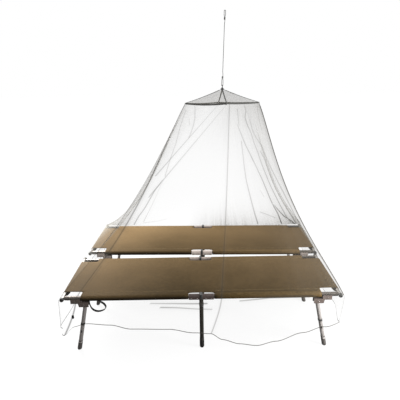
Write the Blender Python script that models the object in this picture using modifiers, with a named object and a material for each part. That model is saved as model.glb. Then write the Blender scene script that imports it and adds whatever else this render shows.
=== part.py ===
"""Mosquito net canopy hung over two folding camp beds.

Metres, +Z up, the floor at z = 0. X runs along the beds, and the near bed lies at -Y.
"""
from collections import namedtuple
import math

import bpy
import bmesh
from mathutils import Matrix, Vector

# ---- general ---------------------------------------------------------------
COLLECTION = "mosquito_net_canopy"
GAP = 0.0003                     # air between two pieces that meet
PLAN_SHIFT = (-0.0015, 0.0138)   # brings the middle of the canopy and beds over the origin

# ---- camp beds ---------------------------------------------------------------
BED_APART = 0.3733               # each bed's centre line from the middle of the pair
NEAR_BED_TURN = math.radians(1.75)
RAIL_HALF_SPAN = 0.304           # side rail's axis from the bed's centre line
RAIL_RADIUS = 0.0146
RAIL_Z = 0.398                   # side rail's axis above the floor
END_BAR_AT = 0.9375              # end bar's axis from the bed's middle
END_BAR_RADIUS = 0.0118
END_BAR_LIFT = 0.003             # end bar's axis above the side rail's
TIP_REACH = 0.343                # end bar's half length with its caps
TIP_CAP_LENGTH = 0.020
TIP_CAP_RADIUS = 0.014

DECK_THICKNESS = 0.0015
DECK_TOP_RADIUS = 0.01725        # cloth's middle surface round the side rail
DECK_END_RADIUS = 0.01425        # and round the end bar
DECK_SAG = 0.007
CORNER_NOTCH_U = 0.815           # corner cut-out: from here to the end
CORNER_NOTCH_V = 0.245           # and from here to the rail
MIDDLE_NOTCH_U = 0.088           # half length of the cut-out at the folding bracket
MIDDLE_NOTCH_FRONT = 0.285
MIDDLE_NOTCH_BACK = 0.245
DECK_U = (-0.9375, -0.885, -0.815, -0.55, -0.30, -0.088, 0.0, 0.088, 0.30, 0.55, 0.815, 0.885, 0.9375)
DECK_V = (-0.304, -0.285, -0.245, -0.12, 0.0, 0.12, 0.245, 0.285, 0.304)

LEG_RADIUS = 0.014
LEG_SPAN = 0.304                 # legs' axes from the bed's centre line
END_LEG_TOP_U = 0.785
END_LEG_FOOT_U = 0.860
FOOT_RADIUS = 0.0157
FOOT_HEIGHT = 0.060
FOOT_FLAT_RADIUS = 0.009

BRACKET_HALF_WIDTH = 0.0175
BRACKET_BORE = 0.0150            # round the rail, with its gap
BRACKET_SLOT = 0.0144            # half width of the slot for the leg's top
BRACKET_SADDLE_U = (0.822, 0.885)
BRACKET_HOUSING_U = (0.764, 0.830)
BRACKET_TOP = -0.002             # these heights are from the rail's axis
BRACKET_SADDLE_BOTTOM = -0.0345
BRACKET_PLATE_TOP = -0.0265
BRACKET_PLATE_BOTTOM = -0.0290
BRACKET_BOTTOM = -0.060
MIDDLE_BRACKET_HALF = 0.085
MIDDLE_BRACKET_BOTTOM = -0.018
MIDDLE_BRACKET_RADIUS = 0.0172

STRAP_WIDTH = 0.014
STRAP_THICKNESS = 0.0015
# The strap's loop under the near bed's front rail: distance along the bed and height.
StrapPoint = namedtuple("StrapPoint", "u z")
STRAP = (
    StrapPoint(-0.7600, 0.3763), StrapPoint(-0.7605, 0.3500), StrapPoint(-0.7530, 0.3250),
    StrapPoint(-0.7370, 0.3050),
    StrapPoint(-0.7110, 0.2945), StrapPoint(-0.6800, 0.2990), StrapPoint(-0.6560, 0.3120),
    StrapPoint(-0.6490, 0.3290), StrapPoint(-0.6580, 0.3480), StrapPoint(-0.6720, 0.3610),
    StrapPoint(-0.6860, 0.3680), StrapPoint(-0.6890, 0.3763),
)

# ---- roof --------------------------------------------------------------------
ROOF_CENTRE = (0.169, 0.0, 1.630)
ROOF_TURN = math.radians(4.84)
ROOF_TILT = math.radians(3.28)   # front edge up
ROOF_HALF_DIAGONAL = 0.280
ROOF_RISE = 0.102
NET_THICKNESS = 0.0012
BAND_HEIGHT = 0.015
BAND_LEVEL = -0.003              # the band's middle, from the gores' eaves' level
BAND_THICKNESS = 0.0016
BAND_SAG = (0.009, 0.003, 0.003, 0.005)   # front left, front right, back right, back left
BAND_COLUMNS = 6
GORE_COLUMNS = 6
GORE_ROWS = 6
GORE_INSET = 0.990               # the gores' eaves lie inside the edge band
GORE_INNER = 0.957               # and they stop short of the apex
RIDGE_SAG = 0.005
GORE_BELLY = 0.006
TAPE_HALF_WIDTH = 0.0055
TAPE_THICKNESS = 0.0010
TAPE_INNER = 0.925
ROD_RADIUS = 0.0020
ROD_LEVELS = (-0.0026, -0.0082)  # the rods pass one above the other
ROD_HALF_LENGTH = 0.2755
HUB_HALF_WIDTH = 0.013
HUB_LEVELS = (-0.0128, 0.0018)
HUB_BORE = 0.00245
EYE_MAJOR = 0.0085
EYE_MINOR = 0.0024
EYE_Z = 0.1195

# ---- hanging cord --------------------------------------------------------------
CORD_RADIUS = 0.002
CORD_TOP = (0.188, 0.006, 2.270)
LOOP_HALF_WIDTH = 0.0049
STRAND_HALF = 0.0023             # the two strands side by side under a whipping
WHIPPING_LENGTH = 0.014
WHIPPING_WALL = 0.0016
WHIPPING_HALF_WIDTH = 0.0059
WHIPPING_HALF_DEPTH = 0.0036

# ---- walls -------------------------------------------------------------------
EDGE_RADIUS = 0.021              # the net's bend over the rails
RING_U = 0.959                   # the ring where the net crosses the rails, at the end bars
RING_V = 0.353                   # and at the end bars' tips
RING_BOW = 0.028                 # between the tips the net rests closer to the rail
SEAM_INSET = 0.0005
SEAM_SHARPEST = 0.12             # tangent of half the sharpest fold at a seam
WALL_TOP_GAP = 0.0015            # from the edge band down to the walls' middle surface
WALL_ROWS = 13
SKIRT_ROWS = 4

# A row for each gather line of the walls, counter-clockwise seen from above.
# top: where it leaves the roof's edge, in sides from the left corner.
# side, along: where it crosses the rails, with along in metres of x or y.
# sag, low: how far it hangs in from a straight line, and how far down that is most.
# join: how far down a slanting line runs into the first line of its panel.
# steps: strips of net from this line to the next. hollow: how far they hang in between.
Line = namedtuple("Line", "name top side along sag low join steps hollow")
PANELS = {
    "wall_front_left": (
        Line("left_seam", 0.00, "front", -0.830, 0.072, 0.56, 0.00, 3, 0.000),
        Line("slant_upper", 0.80, "front", -0.806, 0.010, 0.50, 0.38, 2, 0.004),
        Line("slant_lower", 1.00, "front", -0.775, 0.010, 0.50, 0.48, 8, 0.030),
        Line("front_seam", 1.08, "front", 0.148, 0.050, 0.50, 0.00, 0, 0.000),
    ),
    "wall_front_right": (
        Line("front_seam", 1.08, "front", 0.148, 0.050, 0.50, 0.00, 5, 0.022),
        Line("right_gather", 1.62, "front", 0.560, 0.060, 0.50, 0.00, 5, 0.018),
        Line("right_seam", 2.00, "right", -0.706, 0.092, 0.50, 0.00, 0, 0.000),
    ),
    "wall_back_right": (
        Line("right_seam", 2.00, "right", -0.706, 0.092, 0.50, 0.00, 4, 0.018),
        Line("right_end", 2.15, "right", 0.050, 0.095, 0.55, 0.00, 4, 0.018),
        Line("back_right_corner", 2.26, "back", 0.959, 0.085, 0.55, 0.00, 1, 0.000),
        Line("back_fold_a", 2.33, "back", 0.915, 0.070, 0.55, 0.00, 2, 0.010),
        Line("back_fold_b", 2.43, "back", 0.850, 0.060, 0.52, 0.00, 2, 0.010),
        Line("back_fold_c", 2.53, "back", 0.735, 0.045, 0.50, 0.00, 3, 0.016),
        Line("back_fold_d", 2.60, "back", 0.500, 0.040, 0.50, 0.00, 3, 0.016),
        Line("back_seam", 3.00, "back", 0.223, 0.040, 0.50, 0.00, 0, 0.000),
    ),
    "wall_back_left": (
        Line("back_seam", 3.00, "back", 0.223, 0.040, 0.50, 0.00, 4, 0.022),
        Line("back_fold_e", 3.38, "back", -0.180, 0.060, 0.55, 0.00, 4, 0.022),
        Line("back_fold_f", 3.66, "back", -0.569, 0.052, 0.58, 0.00, 2, 0.010),
        Line("back_fold_g", 3.83, "back", -0.675, 0.075, 0.60, 0.00, 3, 0.014),
        Line("back_left_corner", 3.90, "back", -0.959, 0.100, 0.68, 0.00, 4, 0.018),
        Line("left_end", 3.94, "left_far", 0.010, 0.105, 0.60, 0.00, 4, 0.018),
        Line("front_left_corner", 3.97, "front", -0.944, 0.075, 0.52, 0.00, 1, 0.000),
        Line("left_seam", 4.00, "front", -0.830, 0.072, 0.56, 0.00, 0, 0.000),
    ),
}

# The hem, a row for each place round the ring: its height, how far out it hangs from the
# rails, and how far it has drifted along them.
Hem = namedtuple("Hem", "side along height out drift")
HEM = (
    Hem("front", -0.944, 0.203, 0.004, 0.000),
    Hem("front", -0.830, 0.138, 0.006, -0.098),
    Hem("front", -0.790, 0.200, 0.008, -0.072),
    Hem("front", -0.720, 0.217, 0.010, -0.060),
    Hem("front", -0.580, 0.199, 0.004, -0.040),
    Hem("front", -0.430, 0.171, 0.014, -0.040),
    Hem("front", -0.180, 0.158, 0.004, -0.040),
    Hem("front", 0.010, 0.132, 0.012, -0.050),
    Hem("front", 0.148, 0.118, 0.004, -0.074),
    Hem("front", 0.210, 0.074, 0.010, -0.060),
    Hem("front", 0.310, 0.043, 0.018, -0.040),
    Hem("front", 0.410, 0.029, 0.022, -0.020),
    Hem("front", 0.520, 0.054, 0.012, 0.000),
    Hem("front", 0.710, 0.115, 0.006, 0.000),
    Hem("front", 0.850, 0.172, 0.008, 0.000),
    Hem("right", -0.706, 0.195, -0.022, 0.010),
    Hem("right", -0.450, 0.215, 0.010, 0.000),
    Hem("right", -0.150, 0.175, 0.004, 0.000),
    Hem("right", 0.200, 0.190, 0.010, 0.000),
    Hem("right", 0.500, 0.160, 0.004, 0.000),
    Hem("back", 0.959, 0.190, 0.004, 0.000),
    Hem("back", 0.700, 0.150, 0.016, 0.000),
    Hem("back", 0.450, 0.185, 0.004, 0.000),
    Hem("back", 0.150, 0.140, 0.016, 0.000),
    Hem("back", -0.150, 0.180, 0.004, 0.000),
    Hem("back", -0.450, 0.155, 0.014, 0.000),
    Hem("back", -0.750, 0.190, 0.006, 0.000),
    Hem("back", -0.959, 0.200, 0.004, 0.000),
    Hem("left_far", 0.450, 0.165, 0.008, 0.000),
    Hem("left_near", -0.020, 0.190, 0.003, 0.000),
    Hem("left_near", -0.400, 0.170, 0.008, 0.000),
    Hem("left_near", -0.762, 0.203, 0.004, 0.000),
)

# ---- colours: base colour, roughness, metallic ------------------------------------
COLOURS = {
    "net": ((0.82, 0.82, 0.78), 0.90, 0.0),
    "roof_net": ((0.70, 0.70, 0.66), 0.90, 0.0),
    "tape": ((0.16, 0.16, 0.15), 0.85, 0.0),
    "deck_cloth": ((0.21, 0.145, 0.075), 0.85, 0.0),
    "strap": ((0.05, 0.05, 0.045), 0.80, 0.0),
    "aluminium": ((0.62, 0.60, 0.57), 0.38, 1.0),
    "leg_tube": ((0.30, 0.29, 0.27), 0.42, 1.0),
    "bracket_steel": ((0.66, 0.62, 0.60), 0.40, 1.0),
    "rod_steel": ((0.45, 0.45, 0.44), 0.35, 1.0),
    "plastic": ((0.06, 0.06, 0.06), 0.55, 0.0),
    "cord": ((0.24, 0.24, 0.22), 0.80, 0.0),
}


# ---- helpers -------------------------------------------------------------------
def clear_scene():
    """Remove every object, so that the part is built in an empty scene."""
    for obj in list(bpy.data.objects):
        bpy.data.objects.remove(obj, do_unlink=True)


def new_collection(name):
    """Add a collection to the scene."""
    collection = bpy.data.collections.new(name)
    bpy.context.scene.collection.children.link(collection)
    return collection


def new_material(name, finish):
    """Make a plain Principled material for one piece."""
    colour, roughness, metallic = COLOURS[finish]
    material = bpy.data.materials.new(name)
    material.use_nodes = True
    shader = material.node_tree.nodes["Principled BSDF"]
    shader.inputs["Base Color"].default_value = (*colour, 1.0)
    shader.inputs["Roughness"].default_value = roughness
    shader.inputs["Metallic"].default_value = metallic
    return material


def add_empty(name, parent, location, rotation=(0.0, 0.0, 0.0)):
    """An empty that places a group of pieces."""
    empty = bpy.data.objects.new(name, None)
    empty.location = location
    empty.rotation_euler = rotation
    empty.parent = parent
    PARTS.objects.link(empty)
    return empty


def add_piece(name, data, finish, parent, location=(0.0, 0.0, 0.0), rotation=(0.0, 0.0, 0.0)):
    """Put one piece in the scene, with its own material."""
    obj = bpy.data.objects.new(name, data)
    obj.location = location
    obj.rotation_euler = rotation
    obj.parent = parent
    data.materials.clear()
    data.materials.append(new_material(name + "_material", finish))
    PARTS.objects.link(obj)
    return obj


def evaluated_mesh(obj):
    """The object's mesh with its modifiers applied; the object is removed."""
    bpy.context.view_layer.update()
    depsgraph = bpy.context.evaluated_depsgraph_get()
    mesh = bpy.data.meshes.new_from_object(obj.evaluated_get(depsgraph))
    bpy.data.objects.remove(obj, do_unlink=True)
    return mesh


def smooth(mesh, degrees=35.0):
    """Shade smooth, with sharp edges above an angle."""
    mesh.shade_smooth()
    mesh.set_sharp_from_angle(angle=math.radians(degrees))


def grid_mesh(name, columns, rows, place, keep=None):
    """A grid of columns x rows strips, each vertex put where place(column, row) says."""
    bm = bmesh.new()
    bmesh.ops.create_grid(bm, x_segments=columns, y_segments=rows, size=0.5)
    cell = {}
    for vert in bm.verts:
        cell[vert] = (round((vert.co.x + 0.5) * columns), round((vert.co.y + 0.5) * rows))
    if keep:
        unwanted = []
        for face in bm.faces:
            column = min(cell[vert][0] for vert in face.verts)
            row = min(cell[vert][1] for vert in face.verts)
            if not keep(column, row):
                unwanted.append(face)
        bmesh.ops.delete(bm, geom=unwanted, context="FACES")
    for vert in bm.verts:
        vert.co = place(*cell[vert])
    mesh = bpy.data.meshes.new(name)
    bm.to_mesh(mesh)
    bm.free()
    return mesh


def add_sheet(name, mesh, finish, thickness, parent):
    """A sheet of cloth: an open surface made solid by its thickness."""
    obj = add_piece(name, mesh, finish, parent)
    solidify = obj.modifiers.new("thickness", "SOLIDIFY")
    solidify.thickness = thickness
    solidify.offset = 0.0
    solidify.use_even_offset = True
    mesh.shade_smooth()
    return obj


def cylinder_mesh(name, radius, length, segments, axis):
    """A closed cylinder along X, Y or Z, centred on the origin."""
    bm = bmesh.new()
    bmesh.ops.create_cone(bm, cap_ends=True, segments=segments, radius1=radius, radius2=radius, depth=length)
    if axis == "X":
        bmesh.ops.rotate(bm, verts=bm.verts, matrix=Matrix.Rotation(math.pi / 2, 3, "Y"))
    if axis == "Y":
        bmesh.ops.rotate(bm, verts=bm.verts, matrix=Matrix.Rotation(math.pi / 2, 3, "X"))
    mesh = bpy.data.meshes.new(name)
    bm.to_mesh(mesh)
    bm.free()
    smooth(mesh)
    return mesh


def box_mesh(name, low, high):
    """A box between two corners."""
    bm = bmesh.new()
    bmesh.ops.create_cube(bm, size=1.0)
    low = Vector(low)
    high = Vector(high)
    for vert in bm.verts:
        share = vert.co + Vector((0.5, 0.5, 0.5))
        vert.co = Vector((low[i] + (high[i] - low[i]) * share[i] for i in range(3)))
    mesh = bpy.data.meshes.new(name)
    bm.to_mesh(mesh)
    bm.free()
    return mesh


def turned_mesh(name, profile, steps):
    """A solid turned about Z from a profile of (radius, height), top to bottom."""
    mesh = bpy.data.meshes.new(name + "_profile")
    points = [(radius, 0.0, height) for radius, height in profile]
    mesh.from_pydata(points, [(i, i + 1) for i in range(len(points) - 1)], [])
    obj = bpy.data.objects.new(name + "_profile", mesh)
    PARTS.objects.link(obj)
    screw = obj.modifiers.new("turn", "SCREW")
    screw.angle = 2.0 * math.pi
    screw.steps = steps
    screw.render_steps = steps
    screw.use_merge_vertices = True
    screw.merge_threshold = 0.00001
    solid = evaluated_mesh(obj)
    solid.name = name
    smooth(solid)
    return solid


def outline_mesh(name, outline, half_width):
    """A flat outline in X and Z, given a thickness along Y."""
    curve = bpy.data.curves.new(name + "_outline", "CURVE")
    curve.dimensions = "2D"
    curve.fill_mode = "BOTH"
    curve.extrude = half_width
    spline = curve.splines.new("POLY")
    spline.points.add(len(outline) - 1)
    for point, (x, z) in zip(spline.points, outline):
        point.co = (x, z, 0.0, 1.0)
    spline.use_cyclic_u = True
    obj = bpy.data.objects.new(name + "_outline", curve)
    PARTS.objects.link(obj)
    mesh = evaluated_mesh(obj)
    bm = bmesh.new()
    bm.from_mesh(mesh)
    bmesh.ops.remove_doubles(bm, verts=bm.verts, dist=0.00001)
    bmesh.ops.rotate(bm, verts=bm.verts, matrix=Matrix.Rotation(math.pi / 2, 3, "X"))
    bmesh.ops.recalc_face_normals(bm, faces=bm.faces)
    bm.to_mesh(mesh)
    bm.free()
    mesh.name = name
    return mesh


def combine(name, base_mesh, operation, tool_meshes):
    """Cut tools from a mesh, or join them to it."""
    obj = bpy.data.objects.new(name, base_mesh)
    CUTTERS.objects.link(obj)
    tools = []
    for number, mesh in enumerate(tool_meshes):
        tool = bpy.data.objects.new(f"{name}_tool_{number}", mesh)
        tool.hide_render = True
        tool.display_type = "WIRE"
        CUTTERS.objects.link(tool)
        boolean = obj.modifiers.new(f"tool_{number}", "BOOLEAN")
        boolean.operation = operation
        boolean.solver = "EXACT"
        boolean.object = tool
        tools.append(tool)
    solid = evaluated_mesh(obj)
    for tool in tools:
        bpy.data.objects.remove(tool, do_unlink=True)
    return solid


def rounded_step(value):
    """0 to 1 with a flat start and end."""
    value = min(max(value, 0.0), 1.0)
    return value * value * (3.0 - 2.0 * value)


# ---- camp beds -------------------------------------------------------------------
def wrap_profile(radius):
    """Cloth round a bar: offsets (outward, up) from the bar's axis, from its top to the seam."""
    points = []
    for step in range(1, 5):
        angle = math.radians(90.0 - 40.0 * step)
        drop = 0.004 * (step / 4.0) ** 2
        points.append((radius * math.cos(angle), radius * math.sin(angle) - drop))
    points.append((-0.70 * radius, -1.10 * radius))
    points.append((-1.74 * radius, -0.23 * radius))
    points.append((-2.55 * radius, 0.80 * radius))
    return points


SIDE_WRAP = wrap_profile(DECK_TOP_RADIUS)
END_WRAP = wrap_profile(DECK_END_RADIUS)
WRAPS = len(SIDE_WRAP)
DECK_Z = RAIL_Z + DECK_TOP_RADIUS


def deck_axis(index, stations, wrap, bar_at, bar_z):
    """Where one line of the deck's grid lies: distance from the middle, height, and if wrapped."""
    last = len(stations) - 1
    if index < WRAPS:
        out, up = wrap[WRAPS - 1 - index]
        return -(bar_at + out), bar_z + up, True
    if index > WRAPS + last:
        out, up = wrap[index - WRAPS - last - 1]
        return bar_at + out, bar_z + up, True
    return stations[index - WRAPS], DECK_Z, False


def deck_mesh(name):
    """The bed's cloth: taut deck, two sleeves on each side, one at each end, and cut-outs."""
    columns = 2 * WRAPS + len(DECK_U) - 1
    rows = 2 * WRAPS + len(DECK_V) - 1

    def place(column, row):
        u, end_z, end_wrapped = deck_axis(column, DECK_U, END_WRAP, END_BAR_AT, RAIL_Z + END_BAR_LIFT)
        v, side_z, side_wrapped = deck_axis(row, DECK_V, SIDE_WRAP, RAIL_HALF_SPAN, RAIL_Z)
        if end_wrapped:
            return Vector((u, v, end_z))
        if side_wrapped:
            return Vector((u, v, side_z))
        across = 1.0 - (v / RAIL_HALF_SPAN) ** 2
        along = 1.0 - (u / END_BAR_AT) ** 4
        return Vector((u, v, DECK_Z - DECK_SAG * across * along))

    def keep(column, row):
        end_wrap = column < WRAPS or column >= columns - WRAPS
        side_wrap = row < WRAPS or row >= rows - WRAPS
        u = 0.0 if end_wrap else 0.5 * (DECK_U[column - WRAPS] + DECK_U[column - WRAPS + 1])
        v = 0.0 if side_wrap else 0.5 * (DECK_V[row - WRAPS] + DECK_V[row - WRAPS + 1])
        if end_wrap:
            return not side_wrap and abs(v) < CORNER_NOTCH_V
        if side_wrap:
            return MIDDLE_NOTCH_U < abs(u) < CORNER_NOTCH_U
        if abs(u) > CORNER_NOTCH_U and abs(v) > CORNER_NOTCH_V:
            return False
        if abs(u) < MIDDLE_NOTCH_U and (v < -MIDDLE_NOTCH_FRONT or v > MIDDLE_NOTCH_BACK):
            return False
        return True

    return grid_mesh(name, columns, rows, place, keep)


def end_bar_mesh():
    """End bar with a cap on each tip, turned about Z."""
    reach = TIP_REACH
    shoulder = reach - TIP_CAP_LENGTH
    half = [
        (0.0, reach),
        (0.009, reach),
        (0.0128, reach - 0.0025),
        (TIP_CAP_RADIUS, reach - 0.0065),
        (TIP_CAP_RADIUS, shoulder),
        (END_BAR_RADIUS, shoulder),
    ]
    other = [(radius, -height) for radius, height in reversed(half)]
    return turned_mesh("end_bar", half + other, 12)


def leg_mesh(name, top, lean):
    """A leg with its foot, leaning along X while its top and foot stay level."""
    profile = (
        (0.0, top),
        (LEG_RADIUS, top),
        (LEG_RADIUS, FOOT_HEIGHT + 0.002),
        (FOOT_RADIUS, FOOT_HEIGHT),
        (FOOT_RADIUS, 0.010),
        (0.013, 0.003),
        (FOOT_FLAT_RADIUS, 0.0),
        (0.0, 0.0),
    )
    mesh = turned_mesh(name, profile, 12)
    for vert in mesh.vertices:
        vert.co.x += lean * vert.co.z / top
    return mesh


def corner_bracket_mesh():
    """Saddle under the rail and housing for the leg's top, for a leg at +X."""
    saddle_in, saddle_out = BRACKET_SADDLE_U
    house_in, house_out = BRACKET_HOUSING_U
    outline = (
        (saddle_in, BRACKET_TOP),
        (saddle_in, BRACKET_PLATE_TOP),
        (house_in, BRACKET_PLATE_TOP),
        (house_in, BRACKET_BOTTOM),
        (house_out, BRACKET_BOTTOM),
        (house_out + 0.006, BRACKET_SADDLE_BOTTOM),
        (saddle_out, BRACKET_SADDLE_BOTTOM),
        (saddle_out, BRACKET_TOP),
    )
    body = outline_mesh("corner_bracket", outline, BRACKET_HALF_WIDTH)
    bore = cylinder_mesh("rail_bore", BRACKET_BORE, 2.2, 24, "X")
    slot_low = (house_in - 0.02, -BRACKET_SLOT, BRACKET_BOTTOM - 0.02)
    slot_high = (house_out - 0.004, BRACKET_SLOT, BRACKET_PLATE_BOTTOM)
    slot = box_mesh("leg_slot", slot_low, slot_high)
    return combine("corner_bracket", body, "DIFFERENCE", (bore, slot))


def middle_bracket_mesh():
    """Folding bracket: an upturned channel over the rail at the bed's middle."""
    outline = []
    for radius, turn in ((MIDDLE_BRACKET_RADIUS, 1), (BRACKET_BORE, -1)):
        arc = [(-turn * radius, MIDDLE_BRACKET_BOTTOM)]
        for step in range(9):
            angle = math.pi * step / 8
            arc.append((-turn * radius * math.cos(angle), radius * math.sin(angle)))
        arc.append((turn * radius, MIDDLE_BRACKET_BOTTOM))
        outline += arc
    body = outline_mesh("middle_bracket", outline, MIDDLE_BRACKET_HALF)
    body.transform(Matrix.Rotation(math.pi / 2, 4, "Z"))
    return body


def strap_mesh():
    """The strap's loop, a strip bent along its table of points."""
    def place(column, row):
        point = STRAP[column]
        return Vector((point.u, -RAIL_HALF_SPAN + STRAP_WIDTH * (row - 0.5), point.z))

    return grid_mesh("strap", len(STRAP) - 1, 1, place)


def build_bed(label, place):
    """All the pieces of one camp bed, placed by an empty at its middle on the floor."""
    add_sheet(f"{label}_deck", deck_mesh(f"{label}_deck"), "deck_cloth", DECK_THICKNESS, place)

    rail_length = 2.0 * (END_BAR_AT - END_BAR_RADIUS - GAP)
    for side, word in ((-1, "front"), (1, "back")):
        mesh = cylinder_mesh("side_rail", RAIL_RADIUS, rail_length, 16, "X")
        spot = (0.0, side * RAIL_HALF_SPAN, RAIL_Z)
        add_piece(f"{label}_rail_{word}", mesh, "aluminium", place, spot)

    for side, word in ((-1, "left"), (1, "right")):
        spot = (side * END_BAR_AT, 0.0, RAIL_Z + END_BAR_LIFT)
        add_piece(f"{label}_end_bar_{word}", end_bar_mesh(), "aluminium", place, spot, (math.pi / 2, 0.0, 0.0))

    end_top = RAIL_Z + BRACKET_PLATE_BOTTOM - GAP
    middle_top = RAIL_Z - RAIL_RADIUS - GAP
    for v_side, v_word in ((-1, "front"), (1, "back")):
        for u_side, u_word in ((-1, "left"), (1, "right")):
            lean = u_side * (END_LEG_TOP_U - END_LEG_FOOT_U)
            leg = leg_mesh("leg", end_top, lean)
            spot = (u_side * END_LEG_FOOT_U, v_side * LEG_SPAN, 0.0)
            add_piece(f"{label}_leg_{v_word}_{u_word}", leg, "leg_tube", place, spot)
            bracket = corner_bracket_mesh()
            spot = (0.0, v_side * RAIL_HALF_SPAN, RAIL_Z)
            turn = (0.0, 0.0, math.pi if u_side < 0 else 0.0)
            add_piece(f"{label}_bracket_{v_word}_{u_word}", bracket, "bracket_steel", place, spot, turn)
        leg = leg_mesh("leg", middle_top, 0.0)
        add_piece(f"{label}_leg_{v_word}_middle", leg, "leg_tube", place, (0.0, v_side * LEG_SPAN, 0.0))
        bracket = middle_bracket_mesh()
        spot = (0.0, v_side * RAIL_HALF_SPAN, RAIL_Z)
        add_piece(f"{label}_bracket_{v_word}_middle", bracket, "bracket_steel", place, spot)


# ---- roof ------------------------------------------------------------------------
def roof_matrix():
    """From the roof's own frame, with a corner on each axis, to the canopy's."""
    turn = Matrix.Rotation(ROOF_TURN, 4, "Z")
    tilt = Matrix.Rotation(-ROOF_TILT, 4, "X")
    return Matrix.Translation(ROOF_CENTRE) @ tilt @ turn


def roof_edge(top, level=0.0):
    """A point of the roof's edge: top counts sides from the left corner, counter-clockwise."""
    side = int(math.floor(top)) % 4
    share = top - math.floor(top)
    start = math.pi + side * math.pi / 2
    first = Vector((math.cos(start), math.sin(start), 0.0)) * ROOF_HALF_DIAGONAL
    second = Vector((-math.sin(start), math.cos(start), 0.0)) * ROOF_HALF_DIAGONAL
    point = first.lerp(second, share)
    point.z = level - BAND_SAG[side] * 4.0 * share * (1.0 - share)
    return point


def roof_surface(side, across, up):
    """A point of a gore's middle surface: across from ridge to ridge, up from eave to apex."""
    across = min(max(across, 0.0), 0.99999)
    eave = roof_edge(side + across, 0.001)
    eave.x *= GORE_INSET
    eave.y *= GORE_INSET
    point = eave.lerp(Vector((0.0, 0.0, ROOF_RISE)), up)
    hang = 4.0 * up * (1.0 - up)
    point.z -= hang * (RIDGE_SAG + GORE_BELLY * 4.0 * across * (1.0 - across))
    return point


def gore_mesh(side):
    """One net gore, held back a little from its ridges."""
    def place(column, row):
        up = GORE_INNER * row / GORE_ROWS
        width = ROOF_HALF_DIAGONAL * math.sqrt(2.0) * (1.0 - up)
        inset = 0.0009 / width
        across = inset + (1.0 - 2.0 * inset) * column / GORE_COLUMNS
        return roof_surface(side, across, up)

    return grid_mesh("gore", GORE_COLUMNS, GORE_ROWS, place)


def surface_normal(side, across, up):
    """The upward normal of a gore."""
    step = 0.01
    here = roof_surface(side, across, up)
    along = roof_surface(side, min(across + step, 0.999), up) - roof_surface(side, max(across - step, 0.0), up)
    climb = roof_surface(side, across, up + step) - here
    return along.cross(climb).normalized()


def tape_mesh(side):
    """A tape laid over the ridge at the start of a side, folded along its middle."""
    rows = GORE_ROWS

    def place(column, row):
        up = 0.004 + (TAPE_INNER - 0.004) * row / rows
        width = ROOF_HALF_DIAGONAL * math.sqrt(2.0) * (1.0 - up)
        share = TAPE_HALF_WIDTH / width
        lift = NET_THICKNESS / 2 + GAP + 0.0003 + TAPE_THICKNESS / 2
        before = (side - 1) % 4
        if column == 0:
            return roof_surface(before, 1.0 - share, up) + lift * surface_normal(before, 1.0 - share, up)
        if column == 2:
            return roof_surface(side, share, up) + lift * surface_normal(side, share, up)
        middle = surface_normal(before, 0.985, up) + surface_normal(side, 0.015, up)
        return roof_surface(side, 0.0, up) + 1.12 * lift * middle.normalized()

    return grid_mesh("ridge_tape", 2, rows, place)


def band_mesh(side):
    """One side's length of edge band, standing along the foot of the roof."""
    def place(column, row):
        inset = 0.0013 / (ROOF_HALF_DIAGONAL * math.sqrt(2.0))
        share = inset + (1.0 - 2.0 * inset) * column / BAND_COLUMNS
        return roof_edge(side + share, BAND_LEVEL + BAND_HEIGHT * (row - 0.5))

    return grid_mesh("edge_band", BAND_COLUMNS, 1, place)


def hub_mesh():
    """Block at the rods' crossing, with a bore for each rod."""
    width = HUB_HALF_WIDTH
    low, high = HUB_LEVELS
    body = box_mesh("hub", (-width, -width, low), (width, width, high))
    upper = cylinder_mesh("upper_bore", HUB_BORE, 0.1, 12, "X")
    lower = cylinder_mesh("lower_bore", HUB_BORE, 0.1, 12, "Y")
    upper.transform(Matrix.Translation((0.0, 0.0, ROD_LEVELS[0])))
    lower.transform(Matrix.Translation((0.0, 0.0, ROD_LEVELS[1])))
    return combine("hub", body, "DIFFERENCE", (upper, lower))


def cap_mesh():
    """Apex cap: a plug between the gores, a flange over the tapes, and an eye."""
    profile = (
        (0.0, EYE_Z - EYE_MAJOR + 0.0012),
        (0.0050, EYE_Z - EYE_MAJOR + 0.0012),
        (0.0070, ROOF_RISE + 0.0040),
        (0.0125, ROOF_RISE + 0.0005),
        (0.0160, ROOF_RISE - 0.0040),
        (0.0160, ROOF_RISE - 0.0058),
        (0.0076, ROOF_RISE - 0.0023),
        (0.0076, ROOF_RISE - 0.0130),
        (0.0, ROOF_RISE - 0.0130),
    )
    cap = turned_mesh("apex_cap", profile, 16)
    bpy.ops.mesh.primitive_torus_add(
        major_segments=20,
        minor_segments=8,
        major_radius=EYE_MAJOR,
        minor_radius=EYE_MINOR,
        location=(0.0, 0.0, EYE_Z),
        rotation=(0.0, math.pi / 2, 0.0),
    )
    ring = bpy.context.object
    eye = ring.data.copy()
    eye.transform(ring.matrix_world)
    bpy.data.objects.remove(ring, do_unlink=True)
    return combine("apex_cap", cap, "UNION", (eye,))


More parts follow.
